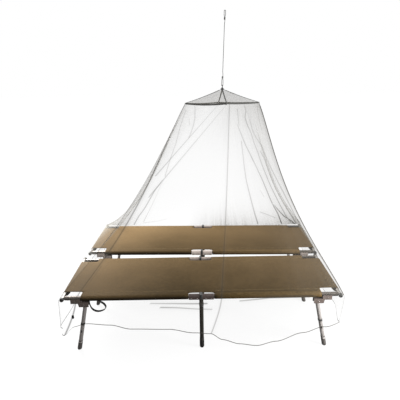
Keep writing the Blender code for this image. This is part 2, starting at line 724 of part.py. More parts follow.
def build_roof(root):
    """Gores, tapes, band, spreader and apex cap, placed by one empty."""
    matrix = roof_matrix()
    place = add_empty("roof_place", root, matrix.to_translation(), matrix.to_euler())
    words = ("front_left", "front_right", "back_right", "back_left")
    for side, word in enumerate(words):
        add_sheet(f"roof_gore_{word}", gore_mesh(side), "roof_net", NET_THICKNESS, place)
        add_sheet(f"edge_band_{word}", band_mesh(side), "tape", BAND_THICKNESS, place)
    for side, word in enumerate(("left", "front", "right", "back")):
        add_sheet(f"ridge_tape_{word}", tape_mesh(side), "tape", TAPE_THICKNESS, place)
    for axis, level, word in (("X", ROD_LEVELS[0], "across"), ("Y", ROD_LEVELS[1], "deep")):
        mesh = cylinder_mesh("spreader_rod", ROD_RADIUS, 2.0 * ROD_HALF_LENGTH, 10, axis)
        add_piece(f"spreader_rod_{word}", mesh, "rod_steel", place, (0.0, 0.0, level))
    add_piece("spreader_hub", hub_mesh(), "plastic", place)
    cap = cap_mesh()
    smooth(cap)
    add_piece("apex_cap", cap, "plastic", place)


# ---- hanging cord -----------------------------------------------------------------
def cord_frame():
    """The eye's bar where the cord bears, the cord's direction, and the direction across it."""
    bearing = roof_matrix() @ Vector((0.0, 0.0, EYE_Z + EYE_MAJOR))
    top = Vector(CORD_TOP)
    along = (top - bearing).normalized()
    across = (Vector((1.0, 0.0, 0.0)) - along * along.x).normalized()
    return bearing, along, across, (top - bearing).length


def cord_route():
    """The cord's middle line, from its lower tail round both loops to its upper tail."""
    bearing, along, across, length = cord_frame()
    height = length + CORD_RADIUS
    radius = LOOP_HALF_WIDTH
    strand = STRAND_HALF
    flat = [(-strand, 0.0560), (-strand, 0.0480), (-0.0034, 0.0400)]
    flat += [(-radius, 0.0300), (-radius, 0.0150)]
    for step in range(7):
        angle = math.pi + math.pi * step / 6
        flat.append((radius * math.cos(angle), radius * math.sin(angle)))
    flat += [(radius, 0.0150), (radius, 0.0300), (0.0034, 0.0400)]
    flat += [(strand, 0.0480), (strand, 0.0560), (strand, 0.0640)]
    upper = height - 0.058
    runs = 44
    start = 0.0760
    for step in range(runs + 1):
        share = step / runs
        slide = rounded_step(share * 20.0) - rounded_step((share - 0.91) * 20.0)
        flat.append((strand * (1.0 - slide), start + (upper - start) * share))
    flat += [(strand, upper + 0.010), (0.0034, upper + 0.018), (radius, upper + 0.027), (radius, upper + 0.041)]
    crown = height - radius - CORD_RADIUS
    for step in range(7):
        angle = math.pi * step / 6
        flat.append((radius * math.cos(angle), crown + radius * math.sin(angle)))
    flat += [(-radius, upper + 0.041), (-radius, upper + 0.027), (-0.0034, upper + 0.018)]
    flat += [(-strand, upper + 0.010), (-strand, upper), (-strand, upper - 0.008)]
    return [bearing + across * x + along * z for x, z in flat]


def build_cord(root):
    """The hanging cord and the whippings that close its two loops."""
    route = cord_route()
    curve = bpy.data.curves.new("hanging_cord", "CURVE")
    curve.dimensions = "3D"
    curve.bevel_depth = CORD_RADIUS
    curve.bevel_resolution = 2
    curve.use_fill_caps = True
    spline = curve.splines.new("POLY")
    spline.points.add(len(route) - 1)
    for point, spot in zip(spline.points, route):
        point.co = (*spot, 1.0)
    add_piece("hanging_cord", curve, "cord", root)

    bearing, along, across, length = cord_frame()
    turn = Matrix((across, along.cross(across), along)).transposed().to_euler()
    upper = length + CORD_RADIUS - 0.058
    for word, level in (("lower", 0.049), ("upper", upper - 0.005)):
        bm = bmesh.new()
        bmesh.ops.create_circle(bm, segments=16, radius=1.0)
        for vert in bm.verts:
            vert.co.x *= WHIPPING_HALF_WIDTH
            vert.co.y *= WHIPPING_HALF_DEPTH
        ring = bmesh.ops.extrude_edge_only(bm, edges=bm.edges[:])
        lifted = [item for item in ring["geom"] if isinstance(item, bmesh.types.BMVert)]
        bmesh.ops.translate(bm, verts=lifted, vec=(0.0, 0.0, WHIPPING_LENGTH))
        mesh = bpy.data.meshes.new("whipping")
        bm.to_mesh(mesh)
        bm.free()
        obj = add_sheet(f"cord_whipping_{word}", mesh, "cord", WHIPPING_WALL, root)
        obj.location = bearing + along * level
        obj.rotation_euler = turn


# ---- walls -------------------------------------------------------------------------
SIDES = ("front", "right", "back", "left_far", "left_near")


def bed_point(near, u, v):
    """A point of a bed's plan in the canopy's frame."""
    if near:
        cos = math.cos(NEAR_BED_TURN)
        sin = math.sin(NEAR_BED_TURN)
        return Vector((cos * u - sin * v, sin * u + cos * v - BED_APART, 0.0))
    return Vector((u, v + BED_APART, 0.0))


def ring_corners():
    """The corners of the ring where the net crosses the rails, from the front left."""
    return (
        bed_point(True, -RING_U, -RING_V),
        bed_point(True, RING_U, -RING_V),
        bed_point(False, RING_U, RING_V),
        bed_point(False, -RING_U, RING_V),
        bed_point(True, -RING_U, TIP_REACH),
    )


CORNERS = ring_corners()


def side_ends(side):
    """The two corners and the outward normal of one side of the ring."""
    number = SIDES.index(side)
    first = CORNERS[number]
    second = CORNERS[(number + 1) % len(SIDES)]
    run = (second - first).normalized()
    return first, second, run, Vector((run.y, -run.x, 0.0))


def ring_share(side, along):
    """How far along a side a given x, or y for the ends, lies: 0 to 1."""
    first, second, run, normal = side_ends(side)
    axis = 0 if side in ("front", "back") else 1
    return min(max((along - first[axis]) / (second[axis] - first[axis]), 0.0), 1.0)


def ring_count(side, along):
    """The same place counted in sides from the front left corner."""
    return SIDES.index(side) + ring_share(side, along)


def ring_place(count):
    """A point of the ring, its outward normal, and the direction along the ring."""
    count = count % len(SIDES)
    side = SIDES[int(count)]
    first, second, run, normal = side_ends(side)
    share = count - int(count)
    length = (second - first).length
    from_first = share * length
    from_second = (1.0 - share) * length
    point = first.lerp(second, share)
    if side in ("front", "back"):
        nearest = min(from_first, from_second)
        point = point - normal * RING_BOW * rounded_step((nearest - 0.04) / 0.22)
    number = SIDES.index(side)
    before = side_ends(SIDES[number - 1])[3]
    after = side_ends(SIDES[(number + 1) % len(SIDES)])[3]
    blend = 0.04
    mixed = normal.copy()
    mixed += before * max(0.0, 1.0 - from_first / blend)
    mixed += after * max(0.0, 1.0 - from_second / blend)
    return point, mixed.normalized(), run


def hem_values(count):
    """The hem's height, how far out it hangs and its drift at a place on the ring."""
    rows = [(ring_count(row.side, row.along), row.height, row.out, row.drift) for row in HEM]
    total = len(SIDES)
    count = count % total
    for index, row in enumerate(rows):
        following = rows[(index + 1) % len(rows)]
        span = (following[0] - row[0]) % total
        offset = (count - row[0]) % total
        if span > 0.0 and offset <= span:
            share = rounded_step(offset / span)
            return [row[k] + (following[k] - row[k]) * share for k in (1, 2, 3)]
    return list(rows[0][1:])


def sag_shape(share, low):
    """0 at both ends and 1 where the hang is most."""
    if share <= 0.0 or share >= 1.0:
        return 0.0
    first = 3.0 * low
    second = 3.0 * (1.0 - low)
    peak = low ** first * (1.0 - low) ** second
    return share ** first * (1.0 - share) ** second / peak


def line_points(top, count, sag, low):
    """A gather line from the roof's edge over the rail to the hem."""
    start = roof_matrix() @ roof_edge(top, BAND_LEVEL - BAND_HEIGHT / 2 - WALL_TOP_GAP)
    place, outward, run = ring_place(count)
    axis = place - outward * EDGE_RADIUS
    axis.z = RAIL_Z
    spread = axis - start
    flat = Vector((spread.x, spread.y, 0.0)).length
    arrive = min(math.atan2(flat, -spread.z) + math.radians(10.0), math.radians(62.0))
    up = Vector((0.0, 0.0, 1.0))
    bends = []
    for part in (1.0, 0.5, 0.0):
        angle = arrive * part
        bends.append(axis + EDGE_RADIUS * (outward * math.cos(angle) + up * math.sin(angle)))
    chord = bends[0] - start
    level = Vector((chord.x, chord.y, 0.0))
    inward = -level.normalized() * abs(chord.z) - up * level.length
    inward.normalize()
    points = []
    for row in range(WALL_ROWS + 1):
        share = row / WALL_ROWS
        points.append(start + chord * share + inward * sag * sag_shape(share, low))
    points += bends[1:]
    height, out, drift = hem_values(count)
    edge = bends[2]
    for row in range(1, SKIRT_ROWS + 1):
        share = row / SKIRT_ROWS
        point = edge + outward * out * share ** 1.3 + run * drift * share ** 1.4
        point.z = edge.z + (height - edge.z) * share
        points.append(point)
    return points


def line_count(line):
    """Where a gather line crosses the ring."""
    return ring_count(line.side, line.along)


def panel_columns(lines):
    """Every column of a panel: its gather lines, and the strips of net between them."""
    counts = [line_count(line) for line in lines]
    for index in range(1, len(counts)):
        while counts[index] < counts[index - 1] - 0.001:
            counts[index] += len(SIDES)
    seam = line_points(lines[0].top, counts[0], lines[0].sag, lines[0].low)
    columns = []
    for index, line in enumerate(lines):
        here = key_column(line, counts[index], seam)
        columns.append(here)
        if index == len(lines) - 1:
            break
        following = lines[index + 1]
        for step in range(1, line.steps):
            share = step / line.steps
            columns.append(between(line, following, counts[index], counts[index + 1], share, seam))
    return columns


def key_column(line, count, seam):
    """A gather line's points; a slanting one meets the panel's first line and follows it."""
    points = line_points(line.top, count, line.sag, line.low)
    if line.join <= 0.0:
        return points
    beside = points[WALL_ROWS] - seam[WALL_ROWS]
    target_row = line.join * WALL_ROWS
    low_row = int(target_row)
    part = target_row - low_row
    target = seam[low_row].lerp(seam[low_row + 1], part) + beside
    slanted = []
    for row in range(WALL_ROWS + 1):
        share = row / WALL_ROWS
        if share < line.join:
            portion = share / line.join
            point = points[0].lerp(target, portion)
            point = point + Vector((0.0, line.sag * 4.0 * portion * (1.0 - portion), 0.0))
        else:
            point = seam[row] + beside
        slanted.append(point)
    return slanted + points[WALL_ROWS + 1:]


def between(line, following, count, next_count, share, seam):
    """A column of net between two gather lines, hanging in by the row's hollow."""
    first = key_column(line, count, seam)
    second = key_column(following, next_count, seam)
    top = line.top + (following.top - line.top) * share
    middle = count + (next_count - count) * share
    sag = line.sag + (following.sag - line.sag) * share
    low = line.low + (following.low - line.low) * share
    own = line_points(top, middle, sag, low)
    points = []
    for row in range(len(own)):
        if row > WALL_ROWS:
            points.append(own[row])
            continue
        part = row / WALL_ROWS
        chord = first[row].lerp(second[row], share)
        blend = rounded_step((part - 0.75) / 0.25)
        if row == 0:
            blend = 1.0
        point = chord.lerp(own[row], blend)
        across = second[row] - first[row]
        inward = Vector((-across.y, across.x, 0.0))
        if inward.length > 0.0:
            inward.normalize()
        hang = line.hollow * 4.0 * share * (1.0 - share)
        hang *= math.sin(math.pi * min(part * 1.15, 1.0)) ** 0.8 if part < 0.87 else 0.0
        points.append(point + inward * hang)
    return points


def held_back(edge, own, other):
    """A panel's edge column, held back so that the two sheets clear each other where they fold."""
    moved = []
    for point, own_side, other_side in zip(edge, own, other):
        inward = (own_side - point).normalized()
        half_angle = inward.angle((other_side - point).normalized()) / 2
        inset = SEAM_INSET + NET_THICKNESS / 2 / max(math.tan(half_angle), SEAM_SHARPEST)
        moved.append(point + inward * inset)
    return moved


def panel_mesh(name, columns):
    """One wall panel of net with its hem."""
    rows = len(columns[0]) - 1

    def place(column, row):
        return columns[column][rows - row]

    return grid_mesh(name, len(columns) - 1, rows, place)


def build_walls(root):
    """The four wall panels."""
    whole = [panel_columns(lines) for lines in PANELS.values()]
    for index, name in enumerate(PANELS):
        columns = list(whole[index])
        before = whole[index - 1][-2]
        after = whole[(index + 1) % len(whole)][1]
        columns[0] = held_back(whole[index][0], whole[index][1], before)
        columns[-1] = held_back(whole[index][-1], whole[index][-2], after)
        add_sheet(name, panel_mesh(name, columns), "net", NET_THICKNESS, root)


# ---- the whole -----------------------------------------------------------------------
clear_scene()
PARTS = new_collection(COLLECTION)
CUTTERS = new_collection("cutters")
ROOT = add_empty("canopy_place", None, (*PLAN_SHIFT, 0.0))
NEAR = add_empty("near_bed_place", ROOT, (0.0, -BED_APART, 0.0), (0.0, 0.0, NEAR_BED_TURN))
FAR = add_empty("far_bed_place", ROOT, (0.0, BED_APART, 0.0))
build_bed("near", NEAR)
build_bed("far", FAR)
add_sheet("near_strap", strap_mesh(), "strap", STRAP_THICKNESS, NEAR)
build_roof(ROOT)
build_cord(ROOT)
build_walls(ROOT)
bpy.context.view_layer.update()
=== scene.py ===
"""The look of a mosquito net canopy hung over two folding camp beds.

Metres, +Z up, the floor at z = 0. X runs along the beds, and the near bed lies at -Y.
"""
from collections import namedtuple
from functools import partial
import math

import bmesh
import bpy
from bpy.props import FloatProperty, FloatVectorProperty, PointerProperty
from mathutils import Matrix, Vector
import numpy as np


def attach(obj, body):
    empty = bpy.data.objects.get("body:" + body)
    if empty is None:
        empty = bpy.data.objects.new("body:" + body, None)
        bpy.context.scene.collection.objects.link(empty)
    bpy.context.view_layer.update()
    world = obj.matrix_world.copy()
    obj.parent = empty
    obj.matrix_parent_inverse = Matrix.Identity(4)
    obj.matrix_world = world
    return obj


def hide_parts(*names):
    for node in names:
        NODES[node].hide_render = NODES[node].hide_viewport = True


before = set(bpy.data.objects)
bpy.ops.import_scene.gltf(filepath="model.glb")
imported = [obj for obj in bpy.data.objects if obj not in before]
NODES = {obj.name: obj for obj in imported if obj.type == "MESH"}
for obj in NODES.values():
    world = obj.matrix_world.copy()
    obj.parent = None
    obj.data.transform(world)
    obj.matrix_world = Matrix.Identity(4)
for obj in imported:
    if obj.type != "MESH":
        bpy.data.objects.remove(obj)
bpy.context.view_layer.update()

bl_info = {
    "name": "Mosquito net canopy over camp beds",
    "version": (1, 0, 0),
    "blender": (4, 5, 0),
    "location": "View3D > Sidebar > Canopy",
    "description": "Dresses the canopy and its two beds with their net, tapes, cloth and fittings",
    "category": "Object",
}

# ---- sizes shared with the solids ----
PLAN_SHIFT = Vector((-0.0015, 0.0138, 0.0))
BED_APART = 0.3733
NEAR_BED_TURN = math.radians(1.75)
RAIL_HALF_SPAN = 0.304
RAIL_Z = 0.398
END_BAR_AT = 0.9375
END_BAR_LIFT = 0.003
TIP_REACH = 0.343
TIP_CAP_LENGTH = 0.020
DECK_TOP_RADIUS = 0.01725
DECK_END_RADIUS = 0.01425
DECK_SAG = 0.007
CORNER_NOTCH_U = 0.815
CORNER_NOTCH_V = 0.245
MIDDLE_NOTCH_U = 0.088
MIDDLE_NOTCH_FRONT = 0.285
MIDDLE_NOTCH_BACK = 0.245
LEG_RADIUS = 0.014
END_LEG_TOP_U = 0.785
END_LEG_FOOT_U = 0.860
END_LEG_TOP_Z = 0.3687
MIDDLE_LEG_TOP_Z = 0.3831
FOOT_TOP_Z = 0.0605
BRACKET_HALF_WIDTH = 0.0175
STRAP_WIDTH = 0.014
ROOF_CENTRE = (0.169, 0.0, 1.630)
ROOF_TURN = math.radians(4.84)
ROOF_TILT = math.radians(3.28)
ROOF_HALF_DIAGONAL = 0.280
ROOF_SIDE = ROOF_HALF_DIAGONAL * math.sqrt(2.0)
ROOF_RISE = 0.102
BAND_HEIGHT = 0.015
BAND_LEVEL = -0.003
BAND_SAG = (0.009, 0.003, 0.003, 0.005)
GORE_INSET = 0.990
GORE_INNER = 0.957
RIDGE_SAG = 0.005
GORE_BELLY = 0.006
TAPE_HALF_WIDTH = 0.0055
TAPE_INNER = 0.925
EYE_MAJOR = 0.0085
EYE_Z = 0.1195
CORD_RADIUS = 0.002
CORD_TOP = (0.188, 0.006, 2.270)
LOOP_HALF_WIDTH = 0.0049
STRAND_HALF = 0.0023
WHIPPING_LENGTH = 0.014
EDGE_RADIUS = 0.021
RING_U = 0.959
RING_V = 0.353
RING_BOW = 0.028

# ---- sizes of the drawn pieces ----
BAND_DRAWN = 0.0105              # height of the edge band, and the net is carried up to it
NET_TOP_LEVEL = BAND_LEVEL + BAND_HEIGHT / 2 - BAND_DRAWN - 0.0003
UPPER_LOOP_DEPTH = 0.058         # from the cord's top down to where its upper loop begins
SLEEVE = 2.55                    # how far in a sleeve is sewn, in radii of the cloth round its bar
WALL_ROWS = 56
SKIRT_ROWS = 14
BEND_STEPS = 4
COLUMN_SPACING = 0.014
WAVE_HEIGHT = 0.0018
FOLD_HEIGHT = 0.0045
FOLD_RADIUS = 0.011
BEND_EXTRA = math.radians(10.0)  # how much further than its slope the net bends over a rail
BEND_MOST = math.radians(62.0)
BOW_START = 0.04                 # the ring's bow sets in this far from a corner of the ring,
BOW_RUN = 0.22                   # and is whole after this much more
CORNER_BLEND = 0.04              # near a corner the outward direction turns over this length
EDGE_FADE = 0.10                 # shares of the way down over which the roof's edge
RAIL_FADE = 0.25                 # and the rail give the net its course
HOLLOW_END = 0.87                # share of the way down at which a hollow has ended
HOLLOW_RATE = 1.15
HOLLOW_POWER = 0.8
SKIRT_FLARE = 1.3                # powers by which the skirt swings out and drifts on its way down
SKIRT_DRIFT = 1.4
SKIRT_VEIL = 0.20                # share of the veil that is left below the rail
FOLD_PATH_STEPS = 6
FOLD_REACH = 0.004               # a face further past a fold's end goes to another fold, if one
FOLD_HANDICAP = 0.02             # is nearer than this much more
TENSION_HEIGHT = 0.0011          # the decks' tension folds, and their radians per metre
TENSION_ACROSS = 46.0
TENSION_ALONG = 30.0
TENSION_START = 0.50             # they set in this far from the bed's middle,
TENSION_RUN = 0.35               # and are whole after this much more
GORE_SLANT = 0.22                # length of a gore from its eave to the cap
GORE_GAP = 0.0009                # from the edge of a gore to the ridge
BAND_GAP = 0.0013                # from the end of a band to the corner
RIDGE_FOOT = 0.004               # share of the way up at which a ridge tape starts
# Shallow waves in the net: radians per metre along the rail, radians from roof to rail, share.
WAVES = ((23.0, 3.0, 1.0), (61.0, 7.0, 0.6))

# One strand of the cord's loops, out from the cord's line and along it: the lower loop from
# the roof's eye, the upper one from its start.
LOWER_STRAND = ((STRAND_HALF, 0.056), (STRAND_HALF, 0.048), (0.0034, 0.040),
                (LOOP_HALF_WIDTH, 0.030), (LOOP_HALF_WIDTH, 0.015))
UPPER_STRAND = ((STRAND_HALF, 0.010), (0.0034, 0.018), (LOOP_HALF_WIDTH, 0.027), (LOOP_HALF_WIDTH, 0.041))

# The strap's loop under the near bed's front rail: distance along the bed and height.
StrapPoint = namedtuple("StrapPoint", "u z")
STRAP = [StrapPoint(*row) for row in (
    (-0.7600, 0.3763), (-0.7605, 0.3500), (-0.7530, 0.3250), (-0.7370, 0.3050),
    (-0.7110, 0.2945), (-0.6800, 0.2990), (-0.6560, 0.3120), (-0.6490, 0.3290),
    (-0.6580, 0.3480), (-0.6720, 0.3610), (-0.6860, 0.3680), (-0.6890, 0.3763),
)]

# A row for each gather line of the walls, counter-clockwise seen from above.
# top: where it leaves the roof's edge, in sides from the left corner. side, along: where it
# crosses the rails. sag, low: how far it hangs in, and how far down that is most. join: how
# far down a slanting line runs into the panel's first line. hollow: how far the net hangs in
# up to the next line. upper, lower, skirt: how dark its fold is at the roof, at the rail and
# below it. roof, middle, rail: how much of what lies behind it the loose net round it covers.
Line = namedtuple("Line", "top side along sag low join hollow upper lower skirt roof middle rail")
LINES = [Line(*row) for row in (
    (0.00, "front", -0.830, 0.072, 0.56, 0.00, 0.000, 0.66, 0.30, 0.62, 0.13, 0.09, 0.06),  # left seam
    (0.80, "front", -0.806, 0.010, 0.50, 0.38, 0.004, 0.16, 0.34, 0.00, 0.04, 0.01, 0.02),  # slanting
    (1.00, "front", -0.775, 0.010, 0.50, 0.48, 0.030, 0.14, 0.32, 0.00, 0.05, 0.00, 0.01),  # slanting
    (1.08, "front", 0.148, 0.050, 0.50, 0.00, 0.022, 0.30, 0.38, 0.40, 0.10, 0.00, 0.01),  # front seam
    (1.62, "front", 0.560, 0.060, 0.50, 0.00, 0.018, 0.00, 0.00, 0.00, 0.12, 0.02, 0.02),  # gather
    (2.00, "right", -0.706, 0.092, 0.50, 0.00, 0.018, 0.85, 0.92, 0.22, 0.22, 0.09, 0.10),  # right seam
    (2.15, "right", 0.050, 0.095, 0.55, 0.00, 0.018, 0.00, 0.00, 0.00, 0.20, 0.10, 0.34),  # right end
    (2.26, "back", 0.959, 0.085, 0.55, 0.00, 0.000, 0.00, 0.15, 0.08, 0.20, 0.10, 0.44),  # corner
    (2.33, "back", 0.915, 0.070, 0.55, 0.00, 0.010, 0.00, 0.00, 0.00, 0.19, 0.10, 0.46),
    (2.43, "back", 0.850, 0.060, 0.52, 0.00, 0.010, 0.00, 0.00, 0.00, 0.17, 0.10, 0.44),
    (2.53, "back", 0.735, 0.045, 0.50, 0.00, 0.016, 0.00, 0.00, 0.00, 0.16, 0.05, 0.36),
    (2.60, "back", 0.500, 0.040, 0.50, 0.00, 0.016, 0.00, 0.00, 0.00, 0.15, 0.02, 0.26),
    (3.00, "back", 0.223, 0.040, 0.50, 0.00, 0.022, 0.00, 0.00, 0.10, 0.12, 0.00, 0.34),  # back seam
    (3.38, "back", -0.180, 0.060, 0.55, 0.00, 0.022, 0.00, 0.00, 0.00, 0.06, 0.00, 0.01),
    (3.66, "back", -0.569, 0.052, 0.58, 0.00, 0.010, 0.00, 0.00, 0.00, 0.06, 0.00, 0.05),
    (3.83, "back", -0.675, 0.075, 0.60, 0.00, 0.014, 0.00, 0.00, 0.00, 0.08, 0.01, 0.12),
    (3.90, "back", -0.959, 0.100, 0.68, 0.00, 0.018, 0.00, 0.50, 0.08, 0.12, 0.07, 0.50),  # corner
    (3.94, "left_far", 0.010, 0.105, 0.60, 0.00, 0.018, 0.05, 0.40, 0.00, 0.15, 0.12, 0.14),  # left end
    (3.97, "front", -0.944, 0.075, 0.52, 0.00, 0.000, 0.05, 0.30, 0.45, 0.15, 0.13, 0.08),  # corner
    (4.00, "front", -0.830, 0.072, 0.56, 0.00, 0.000, 0.66, 0.30, 0.62, 0.13, 0.09, 0.06),  # left seam
)]

# Each wall panel's gather lines, and the size it was cut to: its width at the hem, and its
# length from roof to hem.
PANELS = {
    "wall_front_left": (LINES[0:4], (1.06, 1.75)),
    "wall_front_right": (LINES[3:6], (0.90, 1.75)),
    "wall_back_right": (LINES[5:13], (2.24, 1.75)),
    "wall_back_left": (LINES[12:20], (2.75, 1.75)),
}

# The hem along each side of the ring, a row for each place: where along the side, its height,
# how far out it hangs from the rails, and how far it has drifted along them.
HEM = {
    "front": (
        (-0.944, 0.203, 0.004, 0.000), (-0.830, 0.138, 0.006, -0.098), (-0.790, 0.200, 0.008, -0.072),
        (-0.720, 0.217, 0.010, -0.060), (-0.580, 0.199, 0.004, -0.040), (-0.430, 0.171, 0.014, -0.040),
        (-0.180, 0.158, 0.004, -0.040), (0.010, 0.132, 0.012, -0.050), (0.148, 0.118, 0.004, -0.074),
        (0.210, 0.074, 0.010, -0.060), (0.310, 0.043, 0.018, -0.040), (0.410, 0.029, 0.022, -0.020),
        (0.520, 0.054, 0.012, 0.000), (0.710, 0.115, 0.006, 0.000), (0.850, 0.172, 0.008, 0.000),
    ),
    "right": (
        (-0.706, 0.195, -0.022, 0.010), (-0.450, 0.215, 0.010, 0.000), (-0.150, 0.175, 0.004, 0.000),
        (0.200, 0.190, 0.010, 0.000), (0.500, 0.160, 0.004, 0.000),
    ),
    "back": (
        (0.959, 0.190, 0.004, 0.000), (0.700, 0.150, 0.016, 0.000), (0.450, 0.185, 0.004, 0.000),
        (0.150, 0.140, 0.016, 0.000), (-0.150, 0.180, 0.004, 0.000), (-0.450, 0.155, 0.014, 0.000),
        (-0.750, 0.190, 0.006, 0.000), (-0.959, 0.200, 0.004, 0.000),
    ),
    "left_far": (
        (0.450, 0.165, 0.008, 0.000),
    ),
    "left_near": (
        (-0.020, 0.190, 0.003, 0.000), (-0.400, 0.170, 0.008, 0.000), (-0.762, 0.203, 0.004, 0.000),
    ),
}

# Small folds between the gather lines: how dark each is at its start and at its end, and its
# path. A path is a list of places on a panel: metres along the rail from the panel's first
# seam, and 0 at the roof, 1 at the rail and 2 at the hem.
SMALL_FOLDS = {
    "wall_front_left": (
        (0.36, 0.60, ((0.499, 1.346), (0.701, 1.358), (0.892, 1.352))),
        (0.52, 0.36, ((0.569, 1.447), (0.774, 1.465), (0.935, 1.478))),
    ),
    "wall_front_right": (
        (0.22, 0.34, ((0.399, 0.076), (0.436, 0.136), (0.515, 0.180), (0.615, 0.228), (0.666, 0.307),
                      (0.724, 0.403), (0.751, 0.465), (0.767, 0.529), (0.781, 0.631))),
        (0.15, 0.11, ((0.717, 0.010), (0.675, 0.064), (0.682, 0.106), (0.692, 0.144))),
        (0.45, 0.60, ((0.125, 1.289), (0.326, 1.245), (0.602, 1.245))),
        (0.20, 0.45, ((0.300, 1.190), (0.500, 1.180), (0.640, 1.195))),
    ),
    "wall_back_right": (
        (0.22, 0.56, ((1.859, 0.130), (1.776, 0.188), (1.721, 0.257), (1.657, 0.337), (1.617, 0.435),
                      (1.592, 0.535), (1.592, 0.631), (1.598, 0.719), (1.598, 0.794), (1.592, 0.870),
                      (1.604, 0.992))),
        (0.45, 0.52, ((1.592, 0.772), (1.567, 0.836), (1.540, 0.906), (1.500, 0.952), (1.463, 1.019))),
        (0.26, 0.38, ((1.478, 0.004), (1.484, 0.050), (1.537, 0.088), (1.534, 0.138), (1.509, 0.184),
                      (1.509, 0.253), (1.497, 0.321), (1.500, 0.409), (1.497, 0.489), (1.503, 0.595),
                      (1.503, 0.691), (1.512, 0.800), (1.518, 0.906), (1.506, 0.988))),
        (0.24, 0.34, ((1.463, 0.305), (1.441, 0.375), (1.446, 0.453), (1.446, 0.600), (1.450, 0.760),
                      (1.456, 0.900), (1.462, 0.990))),
        (0.22, 0.15, ((1.715, 0.030), (1.761, 0.088), (1.792, 0.148))),
        (0.30, 0.22, ((1.779, 0.858), (1.703, 0.890), (1.635, 0.924))),
        (0.11, 0.11, ((1.684, 0.635), (1.666, 0.703))),
        (0.22, 0.41, ((1.795, 0.236), (1.810, 0.287), (1.841, 0.425), (1.853, 0.549), (1.847, 0.657),
                      (1.844, 0.774), (1.841, 0.890), (1.835, 0.988))),
    ),
    "wall_back_left": (
        (0.19, 0.26, ((1.085, 0.036), (0.994, 0.106), (0.931, 0.182), (0.900, 0.234), (0.900, 0.363),
                      (0.892, 0.429), (0.884, 0.483))),
        (0.34, 0.45, ((0.888, 0.507), (0.947, 0.585), (0.951, 0.667), (0.943, 0.762), (0.939, 0.860),
                      (0.904, 0.990))),
        (0.26, 0.22, ((0.813, 0.012), (0.706, 0.082), (0.687, 0.134), (0.694, 0.180), (0.710, 0.220))),
        (0.15, 0.19, ((0.836, 0.088), (0.773, 0.140))),
        (0.11, 0.22, ((0.888, 0.515), (0.888, 0.609), (0.872, 0.719), (0.852, 0.836), (0.825, 0.964))),
        (0.26, 0.08, ((0.821, 0.966), (0.762, 0.956), (0.687, 0.944), (0.616, 0.920))),
        (0.30, 0.60, ((1.231, 0.609), (1.185, 0.681), (1.182, 0.770), (1.182, 0.874), (1.192, 0.992))),
        (0.22, 0.26, ((1.148, 0.691), (1.166, 0.764), (1.166, 0.852), (1.148, 0.918))),
    ),
}


# ---- helpers ----
def linear(code):
    """A hex colour's linear red, green and blue."""
    values = [int(code[i:i + 2], 16) / 255.0 for i in (0, 2, 4)]
    return tuple(v / 12.92 if v <= 0.04045 else ((v + 0.055) / 1.055) ** 2.4 for v in values)


def feed(node, inputs):
    """Give a node's inputs their values, or link them to the outputs given."""
    for key, value in inputs.items():
        socket = node.inputs[key]
        if isinstance(value, bpy.types.NodeSocket):
            node.id_data.links.new(value, socket)
        elif socket.type == "RGBA":
            socket.default_value = (*value[:3], 1.0)
        else:
            socket.default_value = value


def add_node(tree, kind, inputs=(), out=0, **settings):
    """Add a node with its settings and its inputs, by name or in order, and return one output.

    With out as None the whole node comes back. A short kind is a shader node's.
    """
    node = tree.nodes.new(kind if "Node" in kind else "ShaderNode" + kind)
    for key, value in settings.items():
        setattr(node, key, value)
    feed(node, inputs if isinstance(inputs, dict) else dict(enumerate(inputs)))
    return node if out is None else node.outputs[out]


def new_material(name):
    """A material, what adds nodes to it, and its shader."""
    material = bpy.data.materials.new(name)
    material.use_nodes = True
    tree = material.node_tree
    return material, partial(add_node, tree), tree.nodes["Principled BSDF"]


def rounded_step(value):
    """0 to 1 with a flat start and end."""
    value = min(max(value, 0.0), 1.0)
    return value * value * (3.0 - 2.0 * value)


def linked(name, data):
    """A new object in the scene."""
    obj = bpy.data.objects.new(name, data)
    bpy.context.scene.collection.objects.link(obj)
    return obj


def add_piece(name, data, material, slot, *nodes):
    """A finished piece on the one body, hiding the nodes it stands for; slot is not used."""
    data.name = name
    obj = linked(name, data)
    data.materials.clear()
    data.materials.append(material)
    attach(obj, "root")
    if nodes:
        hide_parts(*nodes)
    return obj


def mesh_of(obj):
    """The object's mesh with its modifiers applied; the object is removed."""
    bpy.context.view_layer.update()
    depsgraph = bpy.context.evaluated_depsgraph_get()
    mesh = bpy.data.meshes.new_from_object(obj.evaluated_get(depsgraph))
    bpy.data.objects.remove(obj, do_unlink=True)
    return mesh


def mesh_from(bm, name):
    """A new mesh from an edit mesh, which is freed."""
    mesh = bpy.data.meshes.new(name)
    bm.to_mesh(mesh)
    bm.free()
    return mesh


def smoothed(mesh):
    """The mesh shaded smooth, with edges over 40 degrees kept sharp."""
    mesh.shade_smooth()
    mesh.set_sharp_from_angle(angle=math.radians(40.0))
    return mesh


def poly_curve(name, paths):
    """A curve object's data with one straight-sided spline for each path."""
    curve = bpy.data.curves.new(name, "CURVE")
    curve.dimensions = "3D"
    for path in paths:
        spline = curve.splines.new("POLY")
        spline.points.add(len(path) - 1)
        for point, spot in zip(spline.points, path):
            point.co = (*spot, 1.0)
    return curve


def grid_mesh(name, points, wide, tall, flip=False):
    """A mesh of wide x tall points, listed column by column."""
    faces = []
    for column in range(wide - 1):
        for row in range(tall - 1):
            start = column * tall + row
            face = (start, start + 1, start + tall + 1, start + tall)
            faces.append(face[::-1] if flip else face)
    mesh = bpy.data.meshes.new(name)
    mesh.from_pydata([tuple(point) for point in points], [], faces)
    mesh.shade_smooth()
    return mesh


